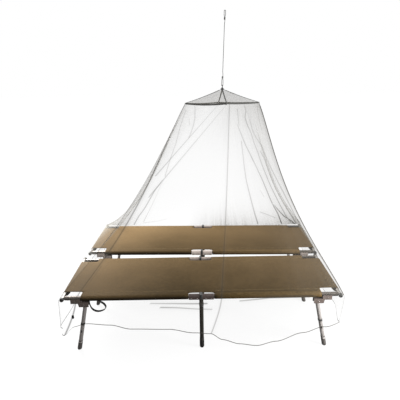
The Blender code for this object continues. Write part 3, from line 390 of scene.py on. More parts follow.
def thicken(mesh, thickness, levels=0):
    """A sheet given its thickness, and rounded by subdivision before that."""
    obj = linked(mesh.name, mesh)
    if levels:
        rounding = obj.modifiers.new("rounding", "SUBSURF")
        rounding.levels = levels
        rounding.render_levels = levels
    solid = obj.modifiers.new("thickness", "SOLIDIFY")
    solid.thickness = thickness
    solid.offset = 0.0
    return mesh_of(obj)


def turned_ring(name, profile, steps):
    """A ring turned about Z from a closed profile of (radius, height) that runs down its outside."""
    points = []
    for step in range(steps):
        angle = 2.0 * math.pi * step / steps
        points += [(radius * math.cos(angle), radius * math.sin(angle), height) for radius, height in profile]
    count = len(profile)
    faces = []
    for start in range(0, len(points), count):
        after = (start + count) % len(points)
        for row in range(count):
            below = (row + 1) % count
            faces.append((start + row, start + below, after + below, after + row))
    mesh = bpy.data.meshes.new(name)
    mesh.from_pydata(points, [], faces)
    return smoothed(mesh)


def rounded_block(middle, size, bevel):
    """A block with rounded edges; bevel is a share of its unit side."""
    bm = bmesh.new()
    bmesh.ops.create_cube(bm, size=1.0)
    bmesh.ops.bevel(bm, geom=bm.edges[:], offset=bevel, segments=3, affect="EDGES", profile=0.5)
    for vertex in bm.verts:
        vertex.co = Vector([vertex.co[k] * size[k] + middle[k] for k in range(3)])
    return mesh_from(bm, "block")


def bed_matrix(side, turn):
    """From a bed's own frame, on the floor at its middle, to the canopy's."""
    spot = PLAN_SHIFT + Vector((0.0, side * BED_APART, 0.0))
    return Matrix.Translation(spot) @ Matrix.Rotation(turn, 4, "Z")


# Each bed's name, turn and place.
BEDS = (
    ("near", NEAR_BED_TURN, bed_matrix(-1.0, NEAR_BED_TURN)),
    ("far", 0.0, bed_matrix(1.0, 0.0)),
)


# ---- roof and walls: the same rules as the solids, with finer steps ----
def roof_matrix():
    """From the roof's own frame, with a corner on each axis, to the canopy's."""
    turn = Matrix.Rotation(ROOF_TURN, 4, "Z")
    tilt = Matrix.Rotation(-ROOF_TILT, 4, "X")
    return Matrix.Translation(ROOF_CENTRE) @ tilt @ turn


def roof_edge(top, level=0.0):
    """A point of the roof's edge: top counts sides from the left corner, counter-clockwise."""
    side = int(math.floor(top)) % 4
    share = top - math.floor(top)
    start = math.pi + side * math.pi / 2
    first = Vector((math.cos(start), math.sin(start), 0.0)) * ROOF_HALF_DIAGONAL
    second = Vector((-math.sin(start), math.cos(start), 0.0)) * ROOF_HALF_DIAGONAL
    point = first.lerp(second, share)
    point.z = level - BAND_SAG[side] * 4.0 * share * (1.0 - share)
    return point


def roof_surface(side, across, up):
    """A point of a gore: across from ridge to ridge, up from eave to apex."""
    across = min(max(across, 0.0), 0.99999)
    eave = roof_edge(side + across, 0.001)
    eave.x *= GORE_INSET
    eave.y *= GORE_INSET
    point = eave.lerp(Vector((0.0, 0.0, ROOF_RISE)), up)
    hang = 4.0 * up * (1.0 - up)
    point.z -= hang * (RIDGE_SAG + GORE_BELLY * 4.0 * across * (1.0 - across))
    return point


def surface_normal(side, across, up):
    """The upward normal of a gore."""
    step = 0.01
    here = roof_surface(side, across, up)
    along = roof_surface(side, min(across + step, 0.999), up)
    along = along - roof_surface(side, max(across - step, 0.0), up)
    climb = roof_surface(side, across, up + step) - here
    return along.cross(climb).normalized()


def cord_frame():
    """The eye's bar where the cord bears, the cord's direction, and the direction across it."""
    bearing = roof_matrix() @ Vector((0.0, 0.0, EYE_Z + EYE_MAJOR))
    top = Vector(CORD_TOP)
    along = (top - bearing).normalized()
    across = (Vector((1.0, 0.0, 0.0)) - along * along.x).normalized()
    return bearing, along, across, (top - bearing).length


def cord_arc(start, level):
    """Half a turn of a loop, from an angle, about a level of the cord's line."""
    angles = [start + math.pi * step / 6 for step in range(7)]
    return [(LOOP_HALF_WIDTH * math.cos(a), level + LOOP_HALF_WIDTH * math.sin(a)) for a in angles]


def cord_route():
    """The cord's middle line, from its lower tail round both loops to its upper tail."""
    bearing, along, across, length = cord_frame()
    height = length + CORD_RADIUS
    upper = height - UPPER_LOOP_DEPTH
    flat = [(-x, z) for x, z in LOWER_STRAND]
    flat += cord_arc(math.pi, 0.0)
    flat += [*LOWER_STRAND[::-1], (STRAND_HALF, 0.0640)]
    runs = 44
    start = 0.0760
    for step in range(runs + 1):
        share = step / runs
        slide = rounded_step(share * 20.0) - rounded_step((share - 0.91) * 20.0)
        flat.append((STRAND_HALF * (1.0 - slide), start + (upper - start) * share))
    flat += [(x, upper + z) for x, z in UPPER_STRAND]
    flat += cord_arc(0.0, height - LOOP_HALF_WIDTH - CORD_RADIUS)
    flat += [(-x, upper + z) for x, z in UPPER_STRAND[::-1]]
    flat += [(-STRAND_HALF, upper), (-STRAND_HALF, upper - 0.008)]
    return [bearing + across * x + along * z + PLAN_SHIFT for x, z in flat]


# ---- the ring where the net crosses the rails ----
SIDES = ("front", "right", "back", "left_far", "left_near")


def bed_point(near, u, v):
    """A point of a bed's plan in the canopy's frame."""
    turn = NEAR_BED_TURN if near else 0.0
    shift = -BED_APART if near else BED_APART
    cos = math.cos(turn)
    sin = math.sin(turn)
    return Vector((cos * u - sin * v, sin * u + cos * v + shift, 0.0))


CORNERS = (
    bed_point(True, -RING_U, -RING_V),
    bed_point(True, RING_U, -RING_V),
    bed_point(False, RING_U, RING_V),
    bed_point(False, -RING_U, RING_V),
    bed_point(True, -RING_U, TIP_REACH),
)


def side_ends(side):
    """The two corners and the outward normal of one side of the ring."""
    number = SIDES.index(side)
    first = CORNERS[number]
    second = CORNERS[(number + 1) % len(SIDES)]
    run = (second - first).normalized()
    return first, second, run, Vector((run.y, -run.x, 0.0))


def ring_count(side, along):
    """A place on the ring counted in sides from the front left corner."""
    first, second = side_ends(side)[:2]
    axis = 0 if side in ("front", "back") else 1
    share = min(max((along - first[axis]) / (second[axis] - first[axis]), 0.0), 1.0)
    return SIDES.index(side) + share


def ring_place(count):
    """A point of the ring, its outward normal, and the direction along the ring."""
    count = count % len(SIDES)
    number = int(count)
    first, second, run, normal = side_ends(SIDES[number])
    share = count - number
    length = (second - first).length
    from_first = share * length
    from_second = (1.0 - share) * length
    point = first.lerp(second, share)
    if SIDES[number] in ("front", "back"):
        nearest = min(from_first, from_second)
        point = point - normal * RING_BOW * rounded_step((nearest - BOW_START) / BOW_RUN)
    before = side_ends(SIDES[number - 1])[3]
    after = side_ends(SIDES[(number + 1) % len(SIDES)])[3]
    mixed = normal.copy()
    mixed += before * max(0.0, 1.0 - from_first / CORNER_BLEND)
    mixed += after * max(0.0, 1.0 - from_second / CORNER_BLEND)
    return point, mixed.normalized(), run


HEM_ROWS = [(ring_count(side, row[0]), *row[1:]) for side, rows in HEM.items() for row in rows]


def hem_values(count):
    """The hem's height, how far out it hangs and its drift at a place on the ring."""
    total = len(SIDES)
    count = count % total
    for index, row in enumerate(HEM_ROWS):
        following = HEM_ROWS[(index + 1) % len(HEM_ROWS)]
        span = (following[0] - row[0]) % total
        offset = (count - row[0]) % total
        if span > 0.0 and offset <= span:
            share = rounded_step(offset / span)
            return [row[k] + (following[k] - row[k]) * share for k in (1, 2, 3)]
    return list(HEM_ROWS[0][1:])


def sag_shape(share, low):
    """0 at both ends and 1 where the hang is most."""
    if share <= 0.0 or share >= 1.0:
        return 0.0
    first = 3.0 * low
    second = 3.0 * (1.0 - low)
    peak = low ** first * (1.0 - low) ** second
    return share ** first * (1.0 - share) ** second / peak


def line_points(top, count, sag, low):
    """A gather line from the roof's edge over the rail to the hem."""
    start = roof_matrix() @ roof_edge(top, NET_TOP_LEVEL)
    place, outward, run = ring_place(count)
    axis = place - outward * EDGE_RADIUS
    axis.z = RAIL_Z
    spread = axis - start
    flat = Vector((spread.x, spread.y, 0.0)).length
    arrive = min(math.atan2(flat, -spread.z) + BEND_EXTRA, BEND_MOST)
    up = Vector((0.0, 0.0, 1.0))
    bends = []
    for step in range(BEND_STEPS + 1):
        angle = arrive * (1.0 - step / BEND_STEPS)
        bends.append(axis + EDGE_RADIUS * (outward * math.cos(angle) + up * math.sin(angle)))
    chord = bends[0] - start
    level = Vector((chord.x, chord.y, 0.0))
    inward = -level.normalized() * abs(chord.z) - up * level.length
    inward.normalize()
    points = []
    for row in range(WALL_ROWS + 1):
        share = row / WALL_ROWS
        points.append(start + chord * share + inward * sag * sag_shape(share, low))
    points += bends[1:]
    height, out, drift = hem_values(count)
    edge = bends[-1]
    for row in range(1, SKIRT_ROWS + 1):
        share = row / SKIRT_ROWS
        point = edge + outward * out * share ** SKIRT_FLARE + run * drift * share ** SKIRT_DRIFT
        point.z = edge.z + (height - edge.z) * share
        points.append(point)
    return points


def key_column(line, count, seam):
    """A gather line's points; a slanting one meets the panel's first line and follows it."""
    points = line_points(line.top, count, line.sag, line.low)
    if line.join <= 0.0:
        return points
    beside = points[WALL_ROWS] - seam[WALL_ROWS]
    target_row = line.join * WALL_ROWS
    low_row = int(target_row)
    target = seam[low_row].lerp(seam[low_row + 1], target_row - low_row) + beside
    slanted = []
    for row in range(WALL_ROWS + 1):
        share = row / WALL_ROWS
        if share < line.join:
            portion = share / line.join
            point = points[0].lerp(target, portion)
            point = point + Vector((0.0, line.sag * 4.0 * portion * (1.0 - portion), 0.0))
        else:
            point = seam[row] + beside
        slanted.append(point)
    return slanted + points[WALL_ROWS + 1:]


def between(line, following, ends, keys, share):
    """A column of net between two gather lines, hanging in by the row's hollow."""
    first, second = keys
    top = line.top + (following.top - line.top) * share
    middle = ends[0] + (ends[1] - ends[0]) * share
    sag = line.sag + (following.sag - line.sag) * share
    low = line.low + (following.low - line.low) * share
    own = line_points(top, middle, sag, low)
    first_step = own[0] - first[0].lerp(second[0], share)
    points = []
    for row in range(len(own)):
        if row > WALL_ROWS:
            points.append(own[row])
            continue
        part = row / WALL_ROWS
        chord = first[row].lerp(second[row], share)
        chord = chord + first_step * (1.0 - rounded_step(part / EDGE_FADE))
        point = chord.lerp(own[row], rounded_step((part - 1.0 + RAIL_FADE) / RAIL_FADE))
        across = second[row] - first[row]
        inward = Vector((-across.y, across.x, 0.0))
        if inward.length > 0.0:
            inward.normalize()
        hang = line.hollow * 4.0 * share * (1.0 - share)
        deep = math.sin(math.pi * min(part * HOLLOW_RATE, 1.0))
        hang *= deep ** HOLLOW_POWER if part < HOLLOW_END else 0.0
        points.append(point + inward * hang)
    return points


def panel_columns(lines):
    """A panel's columns, those of its gather lines, and each column's place among the lines."""
    counts = [ring_count(line.side, line.along) for line in lines]
    for index in range(1, len(counts)):
        while counts[index] < counts[index - 1] - 0.001:
            counts[index] += len(SIDES)
    seam = line_points(lines[0].top, counts[0], lines[0].sag, lines[0].low)
    keys = [key_column(line, count, seam) for line, count in zip(lines, counts)]
    columns = [keys[0]]
    stations = [0.0]
    for index in range(len(lines) - 1):
        pair = (keys[index], keys[index + 1])
        width = (pair[1][WALL_ROWS] - pair[0][WALL_ROWS]).length
        steps = max(2, math.ceil(width / COLUMN_SPACING))
        for step in range(1, steps):
            ends = (counts[index], counts[index + 1])
            columns.append(between(lines[index], lines[index + 1], ends, pair, step / steps))
            stations.append(index + step / steps)
        columns.append(keys[index + 1])
        stations.append(index + 1.0)
    return columns, keys, stations


# ---- folds in the net ----
def nearest_on_path(points, path):
    """How each point lies to a path: distance, offset, direction, share, and how far past an end."""
    steps = path[1:] - path[:-1]
    lengths = np.linalg.norm(steps, axis=1)
    reached = np.concatenate(([0.0], np.cumsum(lengths)))
    best = np.full(len(points), 1e9)
    offset = np.zeros_like(points)
    direction = np.zeros_like(points)
    share = np.zeros(len(points))
    past = np.zeros(len(points))
    last = len(steps) - 1
    for index in range(len(steps)):
        if lengths[index] < 1e-9:
            continue
        unit = steps[index] / lengths[index]
        raw = (points - path[index]) @ unit
        along = np.clip(raw, 0.0, lengths[index])
        away = points - (path[index] + along[:, None] * unit)
        distance = np.linalg.norm(away, axis=1)
        closer = distance < best
        best[closer] = distance[closer]
        offset[closer] = away[closer]
        direction[closer] = unit
        share[closer] = (reached[index] + along[closer]) / reached[-1]
        over = np.zeros(len(points))
        if index == 0:
            over = np.maximum(over, -raw)
        if index == last:
            over = np.maximum(over, raw - lengths[index])
        past[closer] = over[closer]
    return best, offset, direction, share, past


def float_attribute(mesh, name, domain, values):
    """Store one number for each vertex or face corner."""
    attribute = mesh.attributes.new(name, "FLOAT", domain)
    attribute.data.foreach_set("value", np.asarray(values, dtype=np.float32))


def store_folds(mesh, coords, folds):
    """At each face corner: the signed distance to the nearest fold, and how dark that fold is.

    The sign changes across the fold, so that it stays a thin line between two corners.
    """
    corner_vertex = np.empty(len(mesh.loops), dtype=np.int64)
    mesh.loops.foreach_get("vertex_index", corner_vertex)
    corners = coords[corner_vertex]
    quads = corners.reshape(len(mesh.polygons), 4, 3)
    centres = quads.mean(axis=1)
    normals = np.cross(quads[:, 2] - quads[:, 0], quads[:, 3] - quads[:, 1])
    owner = np.zeros(len(quads), dtype=np.int64)
    best = np.full(len(quads), 1e9)
    for index, fold in enumerate(folds):
        distance, _, _, _, past = nearest_on_path(centres, fold[0])
        distance = distance + np.where(past > FOLD_REACH, FOLD_HANDICAP, 0.0)
        closer = distance < best
        best[closer] = distance[closer]
        owner[closer] = index
    corner_owner = np.repeat(owner, 4)
    corner_normal = np.repeat(normals, 4, axis=0)
    signed = np.full(len(corners), 1.0)
    depth = np.zeros(len(corners))
    for index, (path, start, end) in enumerate(folds):
        mine = corner_owner == index
        if not mine.any():
            continue
        distance, offset, direction, share, past = nearest_on_path(corners[mine], path)
        side = np.einsum("ij,ij->i", np.cross(direction, offset), corner_normal[mine])
        signed[mine] = distance * np.where(side < 0.0, -1.0, 1.0)
        depth[mine] = (start + (end - start) * share) * np.where(past > 0.001, 0.0, 1.0)
    float_attribute(mesh, "fold_distance", "CORNER", signed)
    float_attribute(mesh, "fold_depth", "CORNER", depth)


def place_on_panel(columns, widths, along, down):
    """The point of a panel at metres along the rail, and 0 to 2 down from roof to hem."""
    column = np.interp(along, widths, np.arange(len(widths)))
    row = down * WALL_ROWS
    if down > 1.0:
        row = WALL_ROWS + (down - 1.0) * (BEND_STEPS + SKIRT_ROWS)
    first = int(min(column, len(columns) - 2))
    upper = int(min(row, len(columns[0]) - 2))
    top = columns[first][upper].lerp(columns[first + 1][upper], column - first)
    bottom = columns[first][upper + 1].lerp(columns[first + 1][upper + 1], column - first)
    return top.lerp(bottom, row - upper)


def panel_folds(name, lines, columns, keys, widths):
    """Every fold of a panel: its path, and how dark it is at its start and end."""
    folds = []
    for line, key in zip(lines, keys):
        places = np.array([list(point) for point in key])
        if line.upper + line.lower > 0.0:
            # A slanting line's fold ends just past where the line has joined the first one.
            rows = int((line.join + 0.02) * WALL_ROWS) if line.join > 0.0 else WALL_ROWS + 1
            folds.append((places[:rows], line.upper, line.lower))
        if line.skirt > 0.0:
            folds.append((places[WALL_ROWS:], line.skirt, line.skirt))
    for start, end, path in SMALL_FOLDS[name]:
        points = []
        for (along, down), (next_along, next_down) in zip(path, path[1:]):
            for step in range(FOLD_PATH_STEPS):
                share = step / FOLD_PATH_STEPS
                spot = (along + (next_along - along) * share, down + (next_down - down) * share)
                points.append(place_on_panel(columns, widths, *spot))
        points.append(place_on_panel(columns, widths, *path[-1]))
        folds.append((np.array([list(point) for point in points]), start, end))
    return folds


def veil_values(lines, stations, tall):
    """How much the loose net covers, for each column and row."""
    index = np.arange(len(lines))
    columns = [[getattr(line, word) for line in lines] for word in ("roof", "middle", "rail")]
    roof, middle, rail = [np.interp(stations, index, column)[:, None] for column in columns]
    rows = np.arange(tall)
    skirt = 1.0 + (rows - WALL_ROWS) / (tall - 1 - WALL_ROWS)
    down = np.where(rows <= WALL_ROWS, rows / WALL_ROWS, skirt)
    # The upper half passes from the roof's value to the middle's, and the lower to the rail's.
    upper = np.clip(1.0 - down / 0.5, 0.0, 1.0) ** 2.5
    lower = np.clip((down - 0.5) / 0.5, 0.0, 1.0) ** 4
    veil = middle + (roof - middle) * upper + (rail - middle) * lower
    return veil * np.where(down > 1.02, SKIRT_VEIL, 1.0)


def wall_mesh(name, lines):
    """One wall panel as a single sheet, with its folds, hem and gathers stored on it."""
    columns, keys, stations = panel_columns(lines)
    tall = len(columns[0])
    plain = np.array([[list(point + PLAN_SHIFT) for point in column] for column in columns])
    rail_steps = np.linalg.norm(np.diff(plain[:, WALL_ROWS], axis=0), axis=1)
    widths = np.concatenate(([0.0], np.cumsum(rail_steps)))
    folds = panel_folds(name, lines, columns, keys, widths)
    folds = [(path + np.array(PLAN_SHIFT), start, end) for path, start, end in folds]

    # Shallow waves between the folds, and a ridge on each; none at the panel's edges or rail.
    row_share = np.clip(np.arange(tall) / WALL_ROWS, 0.0, 1.0)
    fade = np.sin(np.pi * row_share) ** 2
    edge = np.clip(np.minimum(widths, widths[-1] - widths) / 0.08, 0.0, 1.0)
    wave = 0.0
    for wide, deep, share in WAVES:
        wave = wave + share * np.sin(widths[:, None] * wide + deep * row_share[None, :])
    across = np.gradient(plain, axis=0)
    down = np.gradient(plain, axis=1)
    outward = np.cross(down, across)
    outward /= np.maximum(np.linalg.norm(outward, axis=2, keepdims=True), 1e-9)
    ridge = np.zeros(plain.shape[:2])
    for path, start, end in folds:
        distance, _, _, share, past = nearest_on_path(plain.reshape(-1, 3), path)
        height = (start + (end - start) * share) * np.exp(-((distance + past) / FOLD_RADIUS) ** 2)
        ridge = np.maximum(ridge, height.reshape(ridge.shape))
    amount = (WAVE_HEIGHT * wave + FOLD_HEIGHT * ridge) * edge[:, None] * fade[None, :]
    grid = plain + outward * amount[..., None]
    mesh = grid_mesh(name, grid.reshape(-1, 3), len(columns), tall)

    lengths = np.linalg.norm(np.diff(plain, axis=1), axis=2)
    down_length = np.concatenate((np.zeros((len(columns), 1)), np.cumsum(lengths, axis=1)), axis=1)
    here = np.linalg.norm(np.gradient(plain, axis=0), axis=2)
    gather = np.clip(1.0 - here / here[:, WALL_ROWS:WALL_ROWS + 1], 0.0, 1.0)
    float_attribute(mesh, "hem_distance", "POINT", (down_length[:, -1:] - down_length).reshape(-1))
    float_attribute(mesh, "gather", "POINT", gather.reshape(-1))
    float_attribute(mesh, "veil", "POINT", veil_values(lines, stations, tall).reshape(-1))
    store_folds(mesh, plain.reshape(-1, 3), folds)

    cloth = mesh.uv_layers.new(name="cloth_metres")
    vertex = np.empty(len(mesh.loops), dtype=np.int64)
    mesh.loops.foreach_get("vertex_index", vertex)
    places = np.stack((np.repeat(widths, tall)[vertex], down_length.reshape(-1)[vertex]), axis=1)
    cloth.data.foreach_set("uv", places.reshape(-1).astype(np.float32))
    return mesh


# ---- materials ----
def polyester_net(name, look, base_alpha, layered):
    """Warp-knitted polyester net, heat set: matt threads round open cells.

    Flat, it is nearly clear. Where it is folded, gathered or hemmed, threads lie behind
    threads, and it reads as a grey line; its threads' colour is darkened there too, as painted shade.
    """
    material, add, shader = new_material(name)
    cloth = add("UVMap", uv_map="cloth_metres")
    # Cells of about 1.5 mm are too fine to show; they are drawn four times as wide.
    cells = add("TexVoronoi", {"Vector": cloth, "Scale": 1.0 / look.cell}, feature="DISTANCE_TO_EDGE")
    threads = add("MapRange", (cells, 0.05, 0.25, 1.6, 0.7))
    cover = add("Math", (threads, base_alpha), operation="MULTIPLY")
    colour = look.net_light
    if layered:
        words = ("fold_distance", "fold_depth", "hem_distance", "gather", "veil")
        stored = [add("Attribute", out="Fac", attribute_name=word) for word in words]
        distance, depth, away, gather, veil = stored

        # Each fold is a dark line, wider where it is deep, with a faint halo.
        width = add("MapRange", (depth, 0.0, 1.0, look.fold_width * 0.75, look.fold_width * 1.6))
        lines = []
        for spread, strength in ((1.0, 1.0), (4.5, 0.10)):
            reach = add("Math", (width, spread), operation="MULTIPLY")
            scaled = add("Math", (distance, reach), operation="DIVIDE")
            squared = add("Math", (scaled, scaled), operation="MULTIPLY")
            negative = add("Math", (squared, -1.0), operation="MULTIPLY")
            bell = add("Math", (negative,), operation="EXPONENT")
            dark = add("Math", (bell, depth), operation="MULTIPLY")
            lines.append(add("Math", (dark, strength), operation="MULTIPLY"))
        fold = add("Math", lines, operation="ADD")

        # The doubled hem, with its turned edge.
        turned = (away, look.hem_width * 0.8, look.hem_width * 1.1, 0.85, 0.0)
        hem = add("MapRange", turned, interpolation_type="SMOOTHSTEP")

        # Pleats run down from the roof's edge, and open out towards the beds.
        stretched = add("Mapping", {"Vector": cloth, "Scale": (42.0, 1.3, 1.0)})
        pleats = add("TexNoise", {"Vector": stretched, "Scale": 1.0, "Detail": 3.0, "Roughness": 0.6})
        streak = add("MapRange", (pleats, 0.52, 0.72, 0.0, 1.0))
        gathered = add("Math", (gather, 5.0), operation="POWER")
        pleated = add("Math", (streak, gathered), operation="MULTIPLY")
        pleat_cover = add("Math", (pleated, look.pleat_cover), operation="MULTIPLY")
        cloudy = add("MapRange", (pleats, 0.3, 0.7, 0.75, 1.25))
        loose = add("Math", (veil, cloudy), operation="MULTIPLY")
        dense = add("Math", (threads, loose), operation="MULTIPLY")

        for layer in (fold, pleat_cover, dense):
            cover = add("Math", (cover, layer), operation="ADD")
        cover = add("Math", (cover, hem), operation="MAXIMUM", use_clamp=True)
        # Painted shade: in the folds and at the hem the threads' colour is darkened.
        deep = add("Math", (fold, hem), operation="MAXIMUM")
        painted_fold_shade = add("Math", (deep, 4.0), operation="MULTIPLY", use_clamp=True)
        shades = {"Factor": painted_fold_shade, 6: look.net_light, 7: look.net_fold_shade}
        colour = add("Mix", shades, 2, data_type="RGBA")
    bump = add("Bump", {"Strength": 0.3, "Distance": 0.0004, "Height": threads})
    feed(shader, {"Base Color": colour, "Alpha": cover, "Normal": bump})
    feed(shader, {"Roughness": 0.85, "Specular IOR Level": 0.25})
    return material


def woven_tape(name, colour, thread):
    """Woven polyester tape: a ribbed plain weave, matt, a little paler on the ribs."""
    material, add, shader = new_material(name)
    place = add("TexCoord", out="Object")
    rib = {"Vector": place, "Scale": 0.16 / thread, "Distortion": 0.6, "Detail": 1.0}
    fuzz = add("TexNoise", {"Vector": place, "Scale": 0.5 / thread, "Detail": 2.0})
    weave = add("Math", (add("TexWave", rib, "Fac"), fuzz), operation="MULTIPLY")
    pale = [min(1.0, value * 1.6 + 0.01) for value in colour]
    mixed = add("Mix", {"Factor": weave, 6: colour, 7: pale}, 2, data_type="RGBA")
    bump = add("Bump", {"Strength": 0.5, "Distance": 0.0003, "Height": weave})
    feed(shader, {"Base Color": mixed, "Normal": bump, "Roughness": 0.9})
    feed(shader, {"Specular IOR Level": 0.2, "Sheen Weight": 0.15})
    return material


def coated_canvas(name, look, turn, middle, painted_lift):
    """Polyester canvas with a coated back: a plain weave, matt and mottled, with light and shade painted on
    it.

    turn and middle place the bed's own axes; the last argument is how much paler the whole cloth is drawn, as
    painted light.
    """
    material, add, shader = new_material(name)
    place = add("TexCoord", out="Object")
    cloth = add("Mapping", {"Vector": place, "Rotation": (0.0, 0.0, -turn)})
    along, across, height = add("SeparateXYZ", (cloth,), None).outputs
    # Threads are 0.6 mm apart; they are drawn at 2.4 mm so that they show.
    yarn = {"Vector": cloth, "Scale": 130.0, "Distortion": 0.4}
    yarns = [add("TexWave", yarn, "Fac", bands_direction=way) for way in "XY"]
    weave = add("Math", yarns, operation="MULTIPLY")
    broad = add("TexNoise", {"Vector": cloth, "Scale": 2.2, "Detail": 3.0, "Roughness": 0.55})
    fine = add("TexNoise", {"Vector": cloth, "Scale": 38.0, "Detail": 4.0, "Roughness": 0.7})
    tone = add("Math", (broad, 0.34), operation="MULTIPLY")
    speck = add("Math", (fine, 0.25), operation="MULTIPLY")
    # Painted light: the cloth is drawn paler towards its back edge and its ends, the left one above all.
    back = add("MapRange", (across, middle - 0.30, middle + 0.30, -0.16, 0.22))
    left = add("MapRange", (along, -0.95, -0.15, 0.22 + painted_lift, painted_lift - 0.06), interpolation_type="SMOOTHSTEP")
    right = add("MapRange", (along, 0.15, 0.90, 0.0, 0.12))
    for part in (speck, back, left, right):
        tone = add("Math", (tone, part), operation="ADD")
    tone = add("MapRange", (tone, 0.10, 0.80, 0.0, 1.0))
    # Painted shade: under the rails the cloth keeps its deep colour.
    above = add("MapRange", (height, RAIL_Z - 0.011, RAIL_Z - 0.003, 0.0, 1.0))
    tone = add("Math", (tone, above), operation="MULTIPLY")
    # The deep and pale canvas are mixed by the random mottling together with the painted light and shade.
    worn = add("Mix", {"Factor": tone, 6: look.deck_deep, 7: look.deck_pale}, 2, data_type="RGBA")
    # Painted shade and light: below the rails' tops the cloth is darker on the left half of the bed, and the
    # front roll is paler on the right.
    below = add("MapRange", (height, RAIL_Z + 0.001, RAIL_Z + 0.011, 1.0, 0.0))
    left_half = add("MapRange", (along, 0.02, 0.14, 0.72, 0.0))
    painted_shade_left = add("Math", (below, left_half), operation="MULTIPLY")
    roll = add("MapRange", (across, middle - 0.297, middle - 0.285, 0.45, 0.0))
    right_half = add("MapRange", (along, 0.0, 0.25, 0.0, 1.0))
    painted_roll_light = add("Math", (roll, right_half, 1.0), operation="MULTIPLY_ADD")
    roll_light_and_shade = add("Math", (painted_roll_light, painted_shade_left), operation="SUBTRACT")
    threads = add("MapRange", (weave, 0.0, 1.0, 0.90, 1.08))
    pattern = add("Math", (threads, roll_light_and_shade), operation="MULTIPLY")
    shade = {"Factor": 1.0, 6: worn, 7: pattern}
    shaded = add("Mix", shade, 2, data_type="RGBA", blend_type="MULTIPLY")
    relief = add("Math", (weave, fine), operation="ADD")
    bump = add("Bump", {"Strength": 0.35, "Distance": 0.0005, "Height": relief})
    rough = add("MapRange", (fine, 0.0, 1.0, 0.62, 0.85))
    feed(shader, {"Base Color": shaded, "Roughness": rough, "Normal": bump, "Specular IOR Level": 0.06})
    return material


def metal(name, colour, roughness, grain, metallic=1.0):
    """Drawn or pressed metal: fine scratches along its grain, and a few duller patches.

    A metallic share below 1 stands for a coat of paint or oxide over it.
    """
    material, add, shader = new_material(name)
    place = add("TexCoord", out="Object")
    drawn = add("Mapping", {"Vector": place, "Scale": grain})
    lines = add("TexNoise", {"Vector": drawn, "Scale": 1.0, "Detail": 4.0, "Roughness": 0.65})
    patches = add("TexNoise", {"Vector": place, "Scale": 17.0, "Detail": 3.0})
    tone = add("MapRange", (lines, 0.3, 0.7, 0.82, 1.12))
    shade = {"Factor": 1.0, 6: colour, 7: tone}
    shaded = add("Mix", shade, 2, data_type="RGBA", blend_type="MULTIPLY")
    rough = add("MapRange", (patches, 0.35, 0.7, *roughness))
    bump = add("Bump", {"Strength": 0.15, "Distance": 0.0002, "Height": lines})
    feed(shader, {"Base Color": shaded, "Roughness": rough, "Normal": bump, "Metallic": metallic})
    return material


def capped_metal(name, colour, roughness, grain, metallic, cap, bed=None):
    """Metal tube with a matt moulded cap: at a leg's foot, or at both ends of a bed's end bar.

    bed is the matrix of the bed whose end bar it is.
    """
    material = metal(name, colour, roughness, grain, metallic)
    add = partial(add_node, material.node_tree)
    shader = material.node_tree.nodes["Principled BSDF"]
    place = add("TexCoord", out="Object")
    if bed is None:
        height = add("SeparateXYZ", (place,), "Z")
        is_cap = add("Math", (height, FOOT_TOP_Z), operation="LESS_THAN")
    else:
        own = add("VectorMath", (place, bed.to_translation()), operation="SUBTRACT")
        level = add("VectorRotate", {"Vector": own, "Angle": -bed.to_euler().z}, rotation_type="Z_AXIS")
        reach = add("Math", (add("SeparateXYZ", (level,), "Y"),), operation="ABSOLUTE")
        is_cap = add("Math", (reach, TIP_REACH - TIP_CAP_LENGTH - 0.0002), operation="GREATER_THAN")
    bare = shader.inputs["Base Color"].links[0].from_socket
    mixed = add("Mix", {"Factor": is_cap, 6: bare, 7: cap}, 2, data_type="RGBA")
    feed(shader, {"Base Color": mixed, "Metallic": add("MapRange", (is_cap, 0.0, 1.0, metallic, 0.0))})
    return material


def moulded_plastic(name, colour):
    """Moulded nylon: satin, with the fine grain of its mould."""
    material, add, shader = new_material(name)
    place = add("TexCoord", out="Object")
    grain = add("TexNoise", {"Vector": place, "Scale": 900.0, "Detail": 2.0})
    cloud = add("TexNoise", {"Vector": place, "Scale": 60.0, "Detail": 2.0})
    pale = [value * 1.5 + 0.01 for value in colour]
    mixed = add("Mix", {"Factor": cloud, 6: colour, 7: pale}, 2, data_type="RGBA")
    bump = add("Bump", {"Strength": 0.2, "Distance": 0.0001, "Height": grain})
    rough = add("MapRange", (cloud, 0.0, 1.0, 0.42, 0.62))
    feed(shader, {"Base Color": mixed, "Roughness": rough, "Normal": bump})
    return material


def braided_cord(name, colour):
    """Braided polyester cord: two sets of matt strands that cross round it."""
    material, add, shader = new_material(name)
    place = add("TexCoord", out="Object")
    strands = []
    for slope in (0.7, -0.7):
        turned = add("Mapping", {"Vector": place, "Rotation": (0.0, slope, 0.0)})
        strands.append(add("TexWave", {"Vector": turned, "Scale": 150.0}, "Fac", bands_direction="Z"))
    braid = add("Math", strands, operation="MULTIPLY")
    pale = [min(1.0, value * 1.9 + 0.02) for value in colour]
    mixed = add("Mix", {"Factor": braid, 6: colour, 7: pale}, 2, data_type="RGBA")
    bump = add("Bump", {"Strength": 0.6, "Distance": 0.0004, "Height": braid})
    feed(shader, {"Base Color": mixed, "Normal": bump, "Roughness": 0.8})
    return material


def studio_floor(name):
    """Matt white paper sweep, lit so that it reads white and keeps only a faint shadow."""
    material, add, shader = new_material(name)
    fibre = add("TexNoise", {"Vector": add("TexCoord", out="Object"), "Scale": 6.0, "Detail": 3.0})
    rough = add("MapRange", (fibre, 0.0, 1.0, 0.85, 0.95))
    glow = add("Math", (add("LightPath", out="Is Camera Ray"), 0.90), operation="MULTIPLY")
    feed(shader, {"Base Color": (0.12, 0.12, 0.12), "Roughness": rough, "Specular IOR Level": 0.0})
    feed(shader, {"Emission Color": (1.0, 1.0, 1.0), "Emission Strength": glow})
    return material


